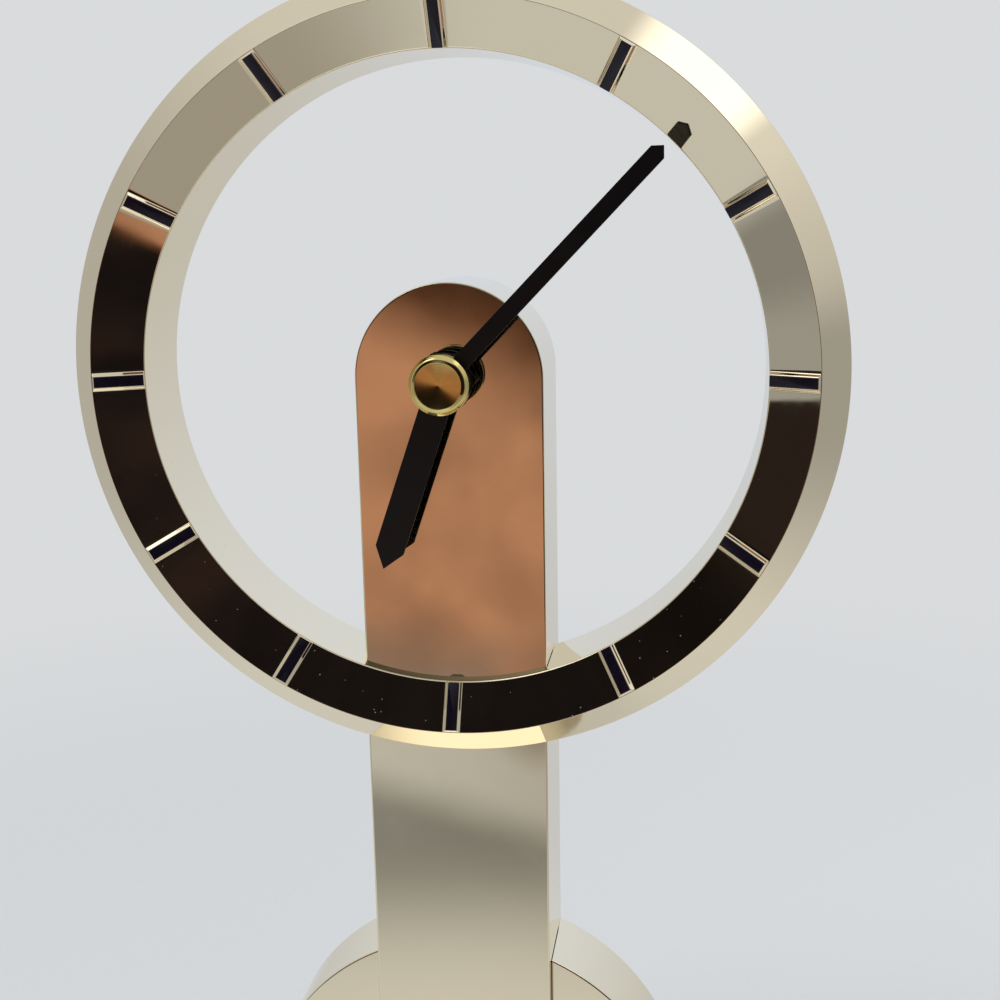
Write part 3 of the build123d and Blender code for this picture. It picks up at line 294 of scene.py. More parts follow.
def textured_plastic(add, place, shade, grain_size, grain_height, roughness):
    """Moulded ABS or epoxy from a spark-eroded tool, in a colour of the finish: an even pebble that breaks up every
    highlight, and rubbed patches that are a little paler."""
    patch_size = 12 * MM
    pebble = add("ShaderNodeTexVoronoi", (place, 1 / grain_size), feature="SMOOTH_F1")
    bump = add(BUMP, {"Height": pebble, "Distance": grain_height})
    patch = add(NOISE, (place, 1 / patch_size, 4.0))
    base = getattr(finish(), shade)
    worn = [min(1, channel * 1.5 + 0.004) for channel in base]
    tone = add(MIX, (patch, opaque(base), opaque(worn)), **RGBA)
    rough = add(RANGE, (patch, 0.3, 0.7, roughness - 0.06, roughness + 0.06))
    return add(PRINCIPLED, {"Base Color": tone, "Roughness": rough, "IOR": 1.54, "Normal": bump})


def plain_metal(add, place, light, dark, roughness, grain_size):
    """Rolled or plated metal: a fine directional grain and cloudy toning."""
    cloud_size = 5 * MM
    grain_stretch = (1, 1, 0.08)
    stretched = add("ShaderNodeMapping", {"Vector": place, "Scale": grain_stretch})
    lines = add(NOISE, (stretched, 1 / grain_size, 3.0))
    cloud = add(NOISE, (place, 1 / cloud_size, 3.0))
    tone = add(MIX, (cloud, light, dark), **RGBA)
    rough = add(RANGE, (lines, 0.0, 1.0, roughness - 0.08, roughness + 0.12))
    return add(PRINCIPLED, {"Base Color": tone, "Metallic": 1.0, "Roughness": rough})


def wound_wire(add, place, axis):
    """Enamelled copper wire wound in a coil, drawn at twice the wire's pitch so that the turns show."""
    wire_pitch = 0.24 * MM
    cloud_size = 2 * MM
    along = add(SPLIT, (place,)).outputs[axis]
    turns = add(MATH, (along, 2 * pi / wire_pitch), **TIMES)
    wave = add(MATH, (turns,), operation="SINE")
    bump = add(BUMP, {"Height": wave, "Distance": wire_pitch / 6})
    cloud = add(NOISE, (place, 1 / cloud_size, 2.0))
    tone = add(MIX, (cloud, "#C4713A", "#8E4520"), **RGBA)
    return add(PRINCIPLED, {"Base Color": tone, "Metallic": 1.0, "Roughness": 0.34, "Normal": bump,
                            "Coat Weight": 0.5, "Coat Roughness": 0.2})


def board_mask(add, place):
    """Green solder mask over copper tracks, which show as lighter, raised lines."""
    track_pitch = 1.3 * MM
    track_height = 0.03 * MM
    bricks = add("ShaderNodeTexBrick", {"Vector": place, "Scale": 1 / (4 * track_pitch), "Color1": "#14522B",
                                        "Color2": "#185E33", "Mortar": "#2E7D4B", "Mortar Size": 0.05})
    bump = add(BUMP, {"Height": bricks.outputs["Fac"], "Distance": track_height})
    return add(PRINCIPLED, {"Base Color": bricks, "Roughness": 0.3, "IOR": 1.5, "Normal": bump})


def cell_sleeve(add, place):
    """Battery cell: bare steel ends on a plain shrunk sleeve in two tones, with no print on it."""
    scuff_size = 2 * MM
    low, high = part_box("battery_cell")
    height = add(RANGE, (add(SPLIT, (place,)).outputs["Z"], low.z, high.z))
    bands = add("ShaderNodeValToRGB", (height,))
    bands.color_ramp.interpolation = "CONSTANT"
    set_stops(bands, ((0.0, "#B9BBBE"), (0.02, "#2A2C30"), (0.7, "#8C5A2B"), (0.955, "#B9BBBE"), (1.0, "#FFFFFF")))
    scuff = add(NOISE, (place, 1 / scuff_size, 4.0))
    rough = add(RANGE, (scuff, 0.0, 1.0, 0.2, 0.4))
    return add(PRINCIPLED, {"Base Color": bands, "Metallic": 0.7, "Roughness": rough})


def moulded_acetal(add, place):
    """Natural acetal, as small clock wheels are moulded in: milky, waxy and a little translucent."""
    cloud_size = 4 * MM
    cloud = add(NOISE, (place, 1 / cloud_size, 3.0))
    tone = add(MIX, (cloud, "#ECE8DC", "#DDD7C6"), **RGBA)
    return add(PRINCIPLED, {"Base Color": tone, "Roughness": 0.38, "IOR": 1.48, "Subsurface Weight": 0.15,
                            "Subsurface Scale": 1 * MM})


def soft_rubber(add, place):
    """Moulded rubber: dull and dark, with painted shade that darkens the low spots of its grain."""
    grain_size = 0.4 * MM
    grain_height = 0.03 * MM
    grain = add(NOISE, (place, 1 / grain_size, 3.0))
    bump = add(BUMP, {"Height": grain, "Distance": grain_height})
    # Painted shade: the colour follows the grain's height, darker in its low spots and lighter on its raised ones
    dust = add(MIX, (grain, "#161616", "#2C2B29"), **RGBA)
    return add(PRINCIPLED, {"Base Color": dust, "Roughness": 0.82, "Normal": bump})


# Materials by key: name, the function that builds it, and what that function is told
MATERIALS = {
    "plating": ("champagne_plated_abs", plated_plastic),
    "lacquer": ("stoved_black_lacquer", hand_lacquer),
    "film": ("hot_stamped_black_film", bar_film),
    "cap_brass": ("turned_cap_brass", turned_brass, (0, CAP_LOW.y, DIAL_Z), 0.28 * MM),
    "cover": ("spark_textured_abs", textured_plastic, "black_plastic", 0.35 * MM, 0.03 * MM, 0.5),
    "case": ("satin_black_abs", textured_plastic, "case_plastic", 0.6 * MM, 0.01 * MM, 0.36),
    "epoxy": ("moulded_epoxy", textured_plastic, "chip_epoxy", 0.2 * MM, 0.01 * MM, 0.55),
    "zinc": ("bright_zinc_on_steel", plain_metal, "#C9CBCF", "#A3A6AB", 0.3, 0.3 * MM),
    "nickel": ("nickel_plated_steel", plain_metal, "#D6D2C8", "#B8B3A8", 0.24, 0.25 * MM),
    "rolled": ("rolled_steel", plain_metal, "#8B8D90", "#606266", 0.42, 0.5 * MM),
    # Washer and nut: dark steel that paints the shade they sit in behind the hands' hubs
    "blackened": ("blackened_steel", plain_metal, "#2B2A2C", "#1A191B", 0.36, 0.3 * MM),
    "ferrite": ("sintered_magnet", plain_metal, "#4C4D50", "#37383B", 0.5, 0.2 * MM),
    "brass": ("drawn_brass", plain_metal, "#D2A855", "#A97F38", 0.28, 0.3 * MM),
    "motor_wire": ("wound_motor_wire", wound_wire, "X"),
    "drive_wire": ("wound_drive_wire", wound_wire, "Y"),
    "board": ("green_solder_mask", board_mask),
    "sleeve": ("shrunk_sleeve_on_steel", cell_sleeve),
    "acetal": ("natural_acetal", moulded_acetal),
    "rubber": ("moulded_rubber", soft_rubber),
}
MADE = {}


def material(key):
    """Material of the clock by its key, made when it is first asked for."""
    if key not in MADE:
        MADE[key] = new_material(*MATERIALS[key])
    return MADE[key]


# Materials of the CAD nodes that keep their own mesh
CARRIED = {
    "cover": ("ring_back", "pillar_back", "lower_ring_back", "base_plate", "battery_tray", "battery_door",
              "pendulum_hanger"),
    "case": ("movement_front", "movement_back"),
    "zinc": ("ring_mount_screws", "side_screws", "foot_screws", "pivot_pin", "pendulum_bracket"),
    "nickel": ("positive_contact", "negative_contact", "quartz_crystal"),
    "rolled": ("plinth_weight", "stator"),
    "ferrite": ("rotor_magnet", "drive_magnet"),
    # Painted shade: the washer and nut are made dark for the shade behind the hands' hubs
    "blackened": ("washer", "hex_nut"),
    "brass": ("minute_pipe",),
    "acetal": ("hour_wheel", "reverse_wheel", "setting_shaft", "centre_wheel", "third_wheel", "second_wheel",
               "middle_wheel", "rotor"),
    "motor_wire": ("motor_coil",),
    "drive_wire": ("pendulum_coil",),
    "board": ("circuit_board",),
    "epoxy": ("clock_chip",),
    "sleeve": ("battery_cell",),
}


class CLOCK_OT_carried_parts(bpy.types.Operator):
    """Gives the CAD parts that keep their own mesh their finishes"""

    bl_idname = "clock.carried_parts"
    bl_label = "Finish Carried Parts"

    def execute(self, context):
        for key, nodes in CARRIED.items():
            for node in nodes:
                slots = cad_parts[node].material_slots
                for slot in slots:
                    slot.material = material(key)
                if not slots:
                    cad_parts[node].data.materials.append(material(key))
        return {"FINISHED"}


# Meshes

# Radius where a lathed shape is closed on its axis
AXIS = 0.02 * MM
SMOOTH_ANGLE = 30


def round_corners(corners, steps=6):
    """Points of an outline whose corners (x, y, radius) are rounded, with a close point on each side of an arc
    that keeps the flat beside it flat."""
    support_share = 0.15
    points = []
    for index, (x, y, radius) in enumerate(corners):
        here = Vector((x, y))
        if not radius:
            points.append(here)
            continue
        before = (Vector(corners[index - 1][:2]) - here).normalized()
        after = (Vector(corners[(index + 1) % len(corners)][:2]) - here).normalized()
        half = before.angle(after) / 2
        reach = radius / tan(half)
        support = support_share * radius
        centre = here + (before + after).normalized() * radius / sin(half)
        start = here + before * reach - centre
        end = here + after * reach - centre
        turn = start.angle_signed(end)
        points.append(here + before * (reach + support))
        for step in range(steps + 1):
            angle = -turn * step / steps
            points.append(centre + Matrix.Rotation(angle, 2) @ start)
        points.append(here + after * (reach + support))
    return points


def circle(radius, steps):
    """Points of a circle, from the top and clockwise."""
    angles = [2 * pi * step / steps for step in range(steps)]
    return [(radius * sin(angle), radius * cos(angle)) for angle in angles]


def mark_sharp(piece, angle=SMOOTH_ANGLE):
    """Marks the edges of a piece that are sharper than an angle, so that shading breaks there."""
    piece.data.set_sharp_from_angle(angle=radians(angle))


def mesh_object(name, bm, smooth_angle=SMOOTH_ANGLE):
    """Object of a finished bmesh, smooth up to an angle, with its faces outwards."""
    bmesh.ops.recalc_face_normals(bm, faces=bm.faces)
    mesh = bpy.data.meshes.new(name)
    bm.to_mesh(mesh)
    bm.free()
    mesh.shade_smooth()
    piece = bpy.data.objects.new(name, mesh)
    mark_sharp(piece, smooth_angle)
    bpy.context.scene.collection.objects.link(piece)
    return piece


def add_rows(bm, rows, closed=False):
    """Skins rows of points with equal counts, and joins the last row to the first, or else fills both."""
    loops = [[bm.verts.new(point) for point in row] for row in rows]
    count = len(rows[0])
    pairs = list(zip(loops, loops[1:]))
    if closed:
        pairs.append((loops[-1], loops[0]))
    for near, far in pairs:
        for index in range(count):
            after = (index + 1) % count
            bm.faces.new((near[index], near[after], far[after], far[index]))
    if not closed:
        bm.faces.new(loops[0])
        bm.faces.new(loops[-1])


def add_lathe(bm, profile, height, segments, closed=False):
    """Turns a profile of (radius, depth behind the ridge) about the axis along Y at a height."""
    rows = [[(x, RIDGE_Y + depth, height + z) for x, z in circle(radius, segments)] for radius, depth in profile]
    add_rows(bm, rows, closed)


def add_box(bm, low, high):
    """Box between two corners."""
    middle = (Vector(low) + Vector(high)) / 2
    size = Vector(high) - Vector(low)
    bmesh.ops.create_cube(bm, size=1, matrix=Matrix.Translation(middle) @ Matrix.Diagonal((*size, 1)))


def add_soft_block(bm, levels, corner, place):
    """Block with rounded corners, skinned through levels of (half width, half length, height)."""
    rows = []
    for half_width, half_length, level in levels:
        outline = round_corners([(x * half_width, y * half_length, corner)
                                 for x, y in ((-1, -1), (1, -1), (1, 1), (-1, 1))], 4)
        rows.append([place @ Vector((*point, level)) for point in outline])
    add_rows(bm, rows)


def bake(piece):
    """Turns a piece's modifiers into plain mesh and removes them."""
    graph = bpy.context.evaluated_depsgraph_get()
    mesh = bpy.data.meshes.new_from_object(piece.evaluated_get(graph), preserve_all_data_layers=True,
                                           depsgraph=graph)
    piece.modifiers.clear()
    piece.data = mesh


def cut(piece, cutter_bm):
    """Cuts a mesh with another one and keeps the piece's smoothing."""
    cutter = mesh_object(piece.name + "_cutter", cutter_bm)
    modifier = piece.modifiers.new("cut", "BOOLEAN")
    modifier.operation = "DIFFERENCE"
    modifier.solver = "EXACT"
    modifier.use_self = False
    modifier.object = cutter
    bake(piece)
    mark_sharp(piece)
    bpy.data.objects.remove(cutter)


def dress(piece, key, body, node):
    """Gives a finished piece its material and slot, and hands it to the frame in place of a CAD node."""
    piece.data.materials.clear()
    piece.data.materials.append(material(key))
    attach(piece, body)
    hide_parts(node)


# Geometry Nodes

def repeat(target, source, key, label, build, inputs=()):
    """Makes an object's mesh from copies of a source mesh, in a Geometry Nodes tree, and uses up the source. The tree
    takes the source, its finish and further inputs (name, kind, value), and build adds the nodes that copy it."""
    tree = bpy.data.node_groups.new(label, "GeometryNodeTree")
    for in_out in ("INPUT", "OUTPUT"):
        tree.interface.new_socket("Geometry", in_out=in_out, socket_type="NodeSocketGeometry")
    inputs = (("Piece", "Object", source), ("Finish", "Material", material(key)), *inputs)
    sockets = [tree.interface.new_socket(name, in_out="INPUT", socket_type="NodeSocket" + kind)
               for name, kind, value in inputs]
    add = partial(add_node, tree)
    given = add("NodeGroupInput").outputs
    piece = add("GeometryNodeObjectInfo", {"Object": given["Piece"]}).outputs["Geometry"]
    whole = add("GeometryNodeRealizeInstances", (build(add, given, piece),))
    dressed = add("GeometryNodeSetMaterial", {"Geometry": whole, "Material": given["Finish"]})
    add("NodeGroupOutput", {"Geometry": dressed})
    modifier = target.modifiers.new(label, "NODES")
    modifier.node_group = tree
    for socket, (name, kind, value) in zip(sockets, inputs):
        modifier[socket.identifier] = value
    bake(target)
    bpy.data.objects.remove(source)


def copies_round_dial(add, given, piece):
    """Nodes that turn a piece about the dial's axis, once for each hour, and join the copies to the target."""
    axis = add("ShaderNodeCombineXYZ", {"Z": given["Dial Height"]})
    to_origin = add(VECTOR, (axis, -1.0), operation="SCALE")
    shifted = add("GeometryNodeTransform", {"Geometry": piece, "Translation": to_origin})
    places = add("GeometryNodePoints", {"Count": given["Count"], "Position": axis})
    turn = add(MATH, (2 * pi, given["Count"]), operation="DIVIDE")
    angle = add(MATH, (add("GeometryNodeInputIndex"), turn), **TIMES)
    rotation = add("ShaderNodeCombineXYZ", {"Y": angle})
    copies = add("GeometryNodeInstanceOnPoints", {"Points": places, "Instance": shifted, "Rotation": rotation})
    whole = add("GeometryNodeRealizeInstances", (copies,))
    joined = add("GeometryNodeMeshBoolean", operation="UNION", solver="EXACT")
    for mesh in (given["Geometry"], whole.outputs["Geometry"]):
        joined.id_data.links.new(mesh, joined.inputs["Mesh 2"])
    return joined


def copies_at_points(add, given, piece):
    """Nodes that put a copy of a piece at each point of the target."""
    return add("GeometryNodeInstanceOnPoints", {"Points": given["Geometry"], "Instance": piece})


# Pieces

def ring_profile():
    """Section of the dial ring: dished face, ridge and bevel over a hollow back."""
    size = sizes()
    outer = RING_HIGH.x
    ridge = outer - size.bevel_width
    inner = ridge - size.face_width
    depth = RING_HIGH.y - RING_LOW.y
    inner_wall = inner + size.ring_wall
    outer_wall = outer - size.ring_wall
    inner_skin = (ridge - inner_wall) / size.face_width * size.face_drop + size.ring_skin
    outer_skin = (outer_wall - ridge) / size.bevel_width * size.bevel_drop + size.ring_skin
    return round_corners((
        (inner, size.face_drop, size.lip_round),
        (ridge, 0, size.ridge_round),
        (outer, size.bevel_drop, size.edge_round),
        (outer, depth, size.edge_round),
        (outer_wall, depth, 0),
        (outer_wall, outer_skin, 0),
        (ridge, size.ring_skin, 0),
        (inner_wall, inner_skin, 0),
        (inner_wall, depth, 0),
        (inner, depth, size.edge_round),
    ))


def face_frame():
    """Middle of the face at twelve o'clock, and the turn from level to the face's slope."""
    size = sizes()
    radius = RING_HIGH.x - size.bevel_width - size.face_width / 2
    middle = Vector((0, RIDGE_Y + size.face_drop / 2, DIAL_Z + radius))
    outward = Vector((0, -size.face_width, -size.face_drop)).normalized()
    across = Vector((1, 0, 0))
    turn = Matrix((across, outward.cross(across), outward)).transposed().to_4x4()
    return Matrix.Translation(middle) @ turn


def bar_sizes():
    """Height of a bar's plated body, and half the width and half the length of its top."""
    size = sizes()
    base_length = hypot(size.face_width, size.face_drop) - 2 * size.bar_end_rim
    return size.bar_rise - size.film_thickness, size.bar_width / 2, (base_length - 2 * size.bar_end_slope) / 2


def repeat_hours(target, levels, edge, key, label):
    """Joins a soft block to the target at each hour of the dial's face."""
    block_bm = bmesh.new()
    add_soft_block(block_bm, levels, edge, face_frame())
    block = mesh_object(label + "_block", block_bm)
    repeat(target, block, key, label, copies_round_dial,
           (("Count", "Int", sizes().hour_count), ("Dial Height", "Float", DIAL_Z)))


class CLOCK_OT_dial_ring(bpy.types.Operator):
    """Makes the plated dial ring, with its hour bars raised across the dished face"""

    bl_idname = "clock.dial_ring"
    bl_label = "Dial Ring"

    def execute(self, context):
        size = sizes()
        ring_bm = bmesh.new()
        add_lathe(ring_bm, ring_profile(), DIAL_Z, 720, closed=True)
        ring = mesh_object("plated_dial_ring", ring_bm)
        pocket = bmesh.new()
        half = PILLAR_HIGH.x + size.seat_gap
        add_box(pocket, (-half, PILLAR_LOW.y, DRUM_Z), (half, RING_HIGH.y + size.ring_wall, DIAL_Z))
        cut(ring, pocket)

        # A bar's sides and ends climb in a soft S from the face to its top
        height, half_width, half_length = bar_sizes()
        side_lean = (size.bar_base_width - size.bar_width) / 2
        steps = 10
        levels = [(half_width + side_lean, half_length + size.bar_end_slope, -size.bar_sink)]
        for step in range(steps + 1):
            inward = step / steps
            rise = inward * inward * (3 - 2 * inward)
            levels.append((half_width + side_lean * (1 - inward), half_length + size.bar_end_slope * (1 - inward),
                           height * rise))
        repeat_hours(ring, levels, size.bar_edge, "plating", "raised_hour_bars")
        mark_sharp(ring)
        dress(ring, "plating", "clock", "dial_ring")
        return {"FINISHED"}


class CLOCK_OT_hour_films(bpy.types.Operator):
    """Lays the black film on the tops of the raised hour bars"""

    bl_idname = "clock.hour_films"
    bl_label = "Hour Films"

    def execute(self, context):
        size = sizes()
        height, half_width, half_length = bar_sizes()
        edge = size.film_thickness / 3
        levels = [(half_width - inset * edge, half_length - inset * edge, level)
                  for inset, level in ((0, height - edge), (0, size.bar_rise - edge),
                                       (0.3, size.bar_rise - 0.3 * edge), (1, size.bar_rise))]
        films = mesh_object("black_hour_films", bmesh.new())
        repeat_hours(films, levels, edge, "film", "hour_films")
        mark_sharp(films, 50)
        dress(films, "film", "clock", "hour_markers")
        return {"FINISHED"}


def pillar_outline(inset, steps=96):
    """Outline of the pillar, drawn in by an inset: a round top, straight sides and the window's arc at the foot."""
    half = PILLAR_HIGH.x - inset
    window = sizes().window_radius + inset
    reach = asin(half / window)
    points = []
    for step in range(steps + 1):
        angle = pi * step / steps
        points.append((half * cos(angle), DIAL_Z + half * sin(angle)))
    for step in range(steps + 1):
        angle = -reach + 2 * reach * step / steps
        points.append((window * sin(angle), DRUM_Z + window * cos(angle)))
    return points


class CLOCK_OT_pillar(bpy.types.Operator):
    """Makes the plated pillar as a hollow shell, with the slot that the pendulum's rod passes through"""

    bl_idname = "clock.pillar"
    bl_label = "Pillar"

    def execute(self, context):
        size = sizes()
        wall = size.pillar_wall
        edge = size.edge_round
        near = PILLAR_LOW.y
        far = PILLAR_HIGH.y
        edge_steps = 6
        support = 1.2 * edge
        levels = [(support, near)]
        for step in range(edge_steps + 1):
            angle = pi / 2 * step / edge_steps
            levels.append((edge * (1 - sin(angle)), near + edge * (1 - cos(angle))))
        levels += [(0, near + support), (0, far), (wall, far), (wall, near + wall)]
        shell = bmesh.new()
        add_rows(shell, [[(x, y, z) for x, z in pillar_outline(inset)] for inset, y in levels])
        pillar = mesh_object("plated_pillar", shell)

        # Slot for the rod, and the hole under the washer for the movement's bushing
        openings = bmesh.new()
        rod_y = (BOB_LOW.y + BOB_BACK_HIGH.y) / 2
        half = size.slot_width / 2
        top = DRUM_Z + size.window_radius + 2 * wall
        add_box(openings, (-half, rod_y - size.slot_depth / 2, DRUM_Z), (half, rod_y + size.slot_depth / 2, top))
        hole_radius = 0.7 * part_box("washer")[1].x
        hole_near, hole_far = 4 * MM, 8 * MM
        add_lathe(openings, [(hole_radius, hole_near), (hole_radius, hole_far)], DIAL_Z, 64)
        cut(pillar, openings)
        dress(pillar, "plating", "clock", "pillar_front")
        return {"FINISHED"}


class CLOCK_OT_lower_ring(bpy.types.Operator):
    """Makes the plated lower ring round the pendulum's window"""

    bl_idname = "clock.lower_ring"
    bl_label = "Lower Ring"

    def execute(self, context):
        size = sizes()
        wall = size.drum_wall
        edge = size.edge_round
        near = DRUM_LOW.y - RIDGE_Y
        far = DRUM_HIGH.y - RIDGE_Y
        outer = DRUM_HIGH.x
        window = size.window_radius
        ring_bm = bmesh.new()
        add_lathe(ring_bm, round_corners((
            (window, near, edge),
            (outer, near, edge),
            (outer, far, edge),
            (outer - wall, far, 0),
            (outer - wall, near + wall, 0),
            (window + wall, near + wall, 0),
            (window + wall, far, 0),
            (window, far, edge),
        )), DRUM_Z, 480, closed=True)
        ring = mesh_object("plated_lower_ring", ring_bm)

        # Seat of the pillar above, and the flat on the plinth's weight below
        cutter = bmesh.new()
        half = PILLAR_HIGH.x + size.seat_gap
        front = DRUM_LOW.y - wall
        back = DRUM_HIGH.y + wall
        add_box(cutter, (-half, front, DRUM_Z), (half, back, DRUM_Z + 2 * outer))
        add_box(cutter, (-outer, front, DRUM_Z - 2 * outer), (outer, back, DRUM_LOW.z))
        cut(ring, cutter)
        dress(ring, "plating", "clock", "lower_ring")
        return {"FINISHED"}


def plinth_outline(inset, steps=96):
    """Outline of the plinth, drawn in by an inset: two half circles joined by straight sides."""
    radius = PLINTH_HIGH.y - inset
    centre = PLINTH_HIGH.x - PLINTH_HIGH.y
    points = []
    for side, start in ((1, -pi / 2), (-1, pi / 2)):
        for step in range(steps + 1):
            angle = start + pi * step / steps
            points.append((side * centre + radius * cos(angle), radius * sin(angle)))
    return points


class CLOCK_OT_plinth(bpy.types.Operator):
    """Makes the plated plinth, hollow below and cut out for the lower ring"""

    bl_idname = "clock.plinth"
    bl_label = "Plinth"

    def execute(self, context):
        size = sizes()
        low = PLINTH_LOW.z
        high = PLINTH_HIGH.z
        wall = size.plinth_wall
        chamfer = size.plinth_chamfer
        edge = size.edge_round

        # Section from under the top, down inside, and up outside to the top, whose two ends are filled
        profile = round_corners((
            (2 * chamfer, high - wall, 0),
            (wall, high - wall, 0),
            (wall, low, 0),
            (0, low, edge),
            (0, high - chamfer, edge),
            (chamfer, high, edge),
            (2 * chamfer, high, 0),
        ), 5)
        shell = bmesh.new()
        add_rows(shell, [[(x, y, level) for x, y in plinth_outline(inset)] for inset, level in profile])
        plinth = mesh_object("plated_plinth", shell)
        saddle = bmesh.new()
        near = DRUM_LOW.y - RIDGE_Y - size.seat_gap
        far = DRUM_HIGH.y - RIDGE_Y + size.seat_gap
        radius = DRUM_HIGH.x + size.seat_gap
        add_lathe(saddle, [(radius, near), (radius, far)], DRUM_Z, 480)
        cut(plinth, saddle)
        dress(plinth, "plating", "clock", "plinth")
        return {"FINISHED"}


class CLOCK_OT_hub_cap(bpy.types.Operator):
    """Turns the brass cap that closes the hands' hub"""

    bl_idname = "clock.hub_cap"
    bl_label = "Hub Cap"

    def execute(self, context):
        near = CAP_LOW.y - RIDGE_Y
        far = CAP_HIGH.y - RIDGE_Y
        radius = CAP_HIGH.x
        skirt = near + 2.9 * MM
        rim = 1.25 * MM
        dish = near + 0.65 * MM
        cone_height = 0.5 * MM
        pin = 0.7 * MM
        cap_bm = bmesh.new()
        add_lathe(cap_bm, round_corners((
            (AXIS, dish, 0),
            (radius - rim, dish - cone_height, 0.03 * MM),
            (radius - rim, near, 0.04 * MM),
            (radius - 0.5 * rim, near + 0.24 * rim, 1.1 * MM),
            (radius, near + 0.8 * rim, 0.2 * MM),
            (radius, skirt, 0.1 * MM),
            (pin, skirt, 0),
            (pin, far, 0),
            (AXIS, far, 0),
        ), 8), DIAL_Z, 192)
        cap = mesh_object("turned_hub_cap", cap_bm, 50)
        dress(cap, "cap_brass", "minute", "hub_cap")
        return {"FINISHED"}


def add_hand(bm, reach, width, point, angle, near, sleeve_radius):
    """Bar hand with a pointed tip on a round hub, turned clockwise from twelve, and the sleeve behind it that grips
    its pipe."""
    hub_radius = 5.2 * MM
    hub_steps = 64
    sleeve_length = 1.2 * MM
    thickness = sizes().hand_thickness
    half = width / 2
    start = asin(half / hub_radius)
    corners = [Vector((-half, reach - point)), Vector((0, reach)), Vector((half, reach - point))]
    for step in range(hub_steps + 1):
        around = start + (2 * pi - 2 * start) * step / hub_steps
        corners.append(Vector((hub_radius * sin(around), hub_radius * cos(around))))
    turn = Matrix.Rotation(-angle, 2)
    outline = [turn @ corner for corner in corners]
    add_rows(bm, [[(x, RIDGE_Y + depth, DIAL_Z + z) for x, z in outline] for depth in (near, near + thickness)])
    add_lathe(bm, [(sleeve_radius, near + 0.9 * thickness), (sleeve_radius, near + thickness + sleeve_length)],
              DIAL_Z, 64)


class CLOCK_OT_hands(bpy.types.Operator):
    """Makes both hands, stamped bars with the soft edge of stoved lacquer"""

    bl_idname = "clock.hands"
    bl_label = "Hands"

    def execute(self, context):
        # Name, node, body, angle in degrees, and in millimetres: length, width, point, depth of the front behind the
        # ridge and radius of the sleeve
        hands = (
            ("lacquered_minute_hand", "minute_hand", "minute", 44.2, 55.1, 3.0, 1.5, -1.5, 2.2),
            ("lacquered_hour_hand", "hour_hand", "hour", 199.3, 36.2, 5.4, 3.8, 0.9, 3.2),
        )
        for name, node, body, angle, reach, width, point, near, sleeve_radius in hands:
            hand_bm = bmesh.new()
            add_hand(hand_bm, reach * MM, width * MM, point * MM, radians(angle), near * MM, sleeve_radius * MM)
            hand = mesh_object(name, hand_bm)
            modifier = hand.modifiers.new("edge", "BEVEL")
            modifier.width = sizes().hand_edge
            modifier.segments = 3
            modifier.limit_method = "ANGLE"
            modifier.harden_normals = True
            bake(hand)
            dress(hand, "lacquer", body, node)
        return {"FINISHED"}


class CLOCK_OT_pendulum(bpy.types.Operator):
    """Makes the pendulum's dished bob, its back and its cranked rod"""

    bl_idname = "clock.pendulum"
    bl_label = "Pendulum"

    def execute(self, context):
        near = BOB_LOW.y - RIDGE_Y
        middle = BOB_BACK_LOW.y - RIDGE_Y
        far = BOB_BACK_HIGH.y - RIDGE_Y
        radius = BOB_HIGH.x
        rim = 1.6 * MM
        dish = 1.1 * MM
        edge = 0.35 * MM

        # Name, segments, material, slot, node, and the corners of the section that is turned
        turned = (
            ("plated_bob", 240, "plating", "champagne_plating", "bob_front", (
                (AXIS, near + dish, 0),
                (radius - rim, near + edge / 2, 0.1 * MM),
                (radius - edge, near, 0.3 * MM),
                (radius, near + edge, 0.3 * MM),
                (radius, middle, 0.1 * MM),
                (AXIS, middle, 0),
            )),
            ("bob_cover", 160, "cover", "black_plastic", "bob_back", (
                (AXIS, middle, 0),
                (radius - edge, middle, 0),
                (radius - edge, far - edge, 0.1 * MM),
                (radius - 2 * edge, far, 0.1 * MM),
                (AXIS, far, 0),
            )),
        )
        for name, segments, key, slot, node, corners in turned:
            bm = bmesh.new()
            add_lathe(bm, round_corners(corners), DRUM_Z, segments)
            dress(mesh_object(name, bm, 50), key, "pendulum", node)

        # The rod hangs straight down inside the pillar, then cranks back to the middle of the window
        rod_low, rod_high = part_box("pendulum_rod")
        rod_radius = rod_high.x
        front = rod_low.y + rod_radius
        back = rod_high.y - rod_radius
        crank_top = DIAL_Z - 112 * MM
        crank_end = DIAL_Z - 121 * MM
        crank_bend = 3 * MM
        path = round_corners(((front, rod_high.z, 0), (front, crank_top, crank_bend), (back, crank_end, crank_bend),
                              (back, rod_low.z, 0)), 10)
        rows = []
        for here, before, after in zip(path, [path[0], *path], [*path[1:], path[-1]]):
            along = (after - before).normalized()
            aside = Vector((-along.y, along.x))
            rows.append([(across, *(here + aside * off)) for off, across in circle(rod_radius, 32)])
        rod_bm = bmesh.new()
        add_rows(rod_bm, rows)
        dress(mesh_object("cranked_rod", rod_bm, 50), "nickel", "pendulum", "pendulum_rod")
        return {"FINISHED"}


# Screws that show: node, and the direction that their heads face
SHOWN_SCREWS = {
    "ring_screws": Vector((0, 1, 0)),
    "pillar_screws": Vector((0, 1, 0)),
    "lower_ring_screws": Vector((0, 1, 0)),
    "base_screws": Vector((0, 0, -1)),
}


def screw_boxes(node):
    """Boxes of a node's screws, read from the loose solids of its mesh."""
    bm = bmesh.new()
    bm.from_mesh(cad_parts[node].data)
    bmesh.ops.remove_doubles(bm, verts=bm.verts, dist=0.001 * MM)
    left = set(bm.verts)
    boxes = []
    while left:
        # The loop goes on over the vertices that it adds
        island = [left.pop()]
        for vertex in island:
            for link in vertex.link_edges:
                other = link.other_vert(vertex)
                if other in left:
                    left.discard(other)
                    island.append(other)
        boxes.append([Vector([extreme(vertex.co[axis] for vertex in island) for axis in range(3)])
                      for extreme in (min, max)])
    bm.free()
    return sorted(boxes, key=lambda box: tuple(box[0]))


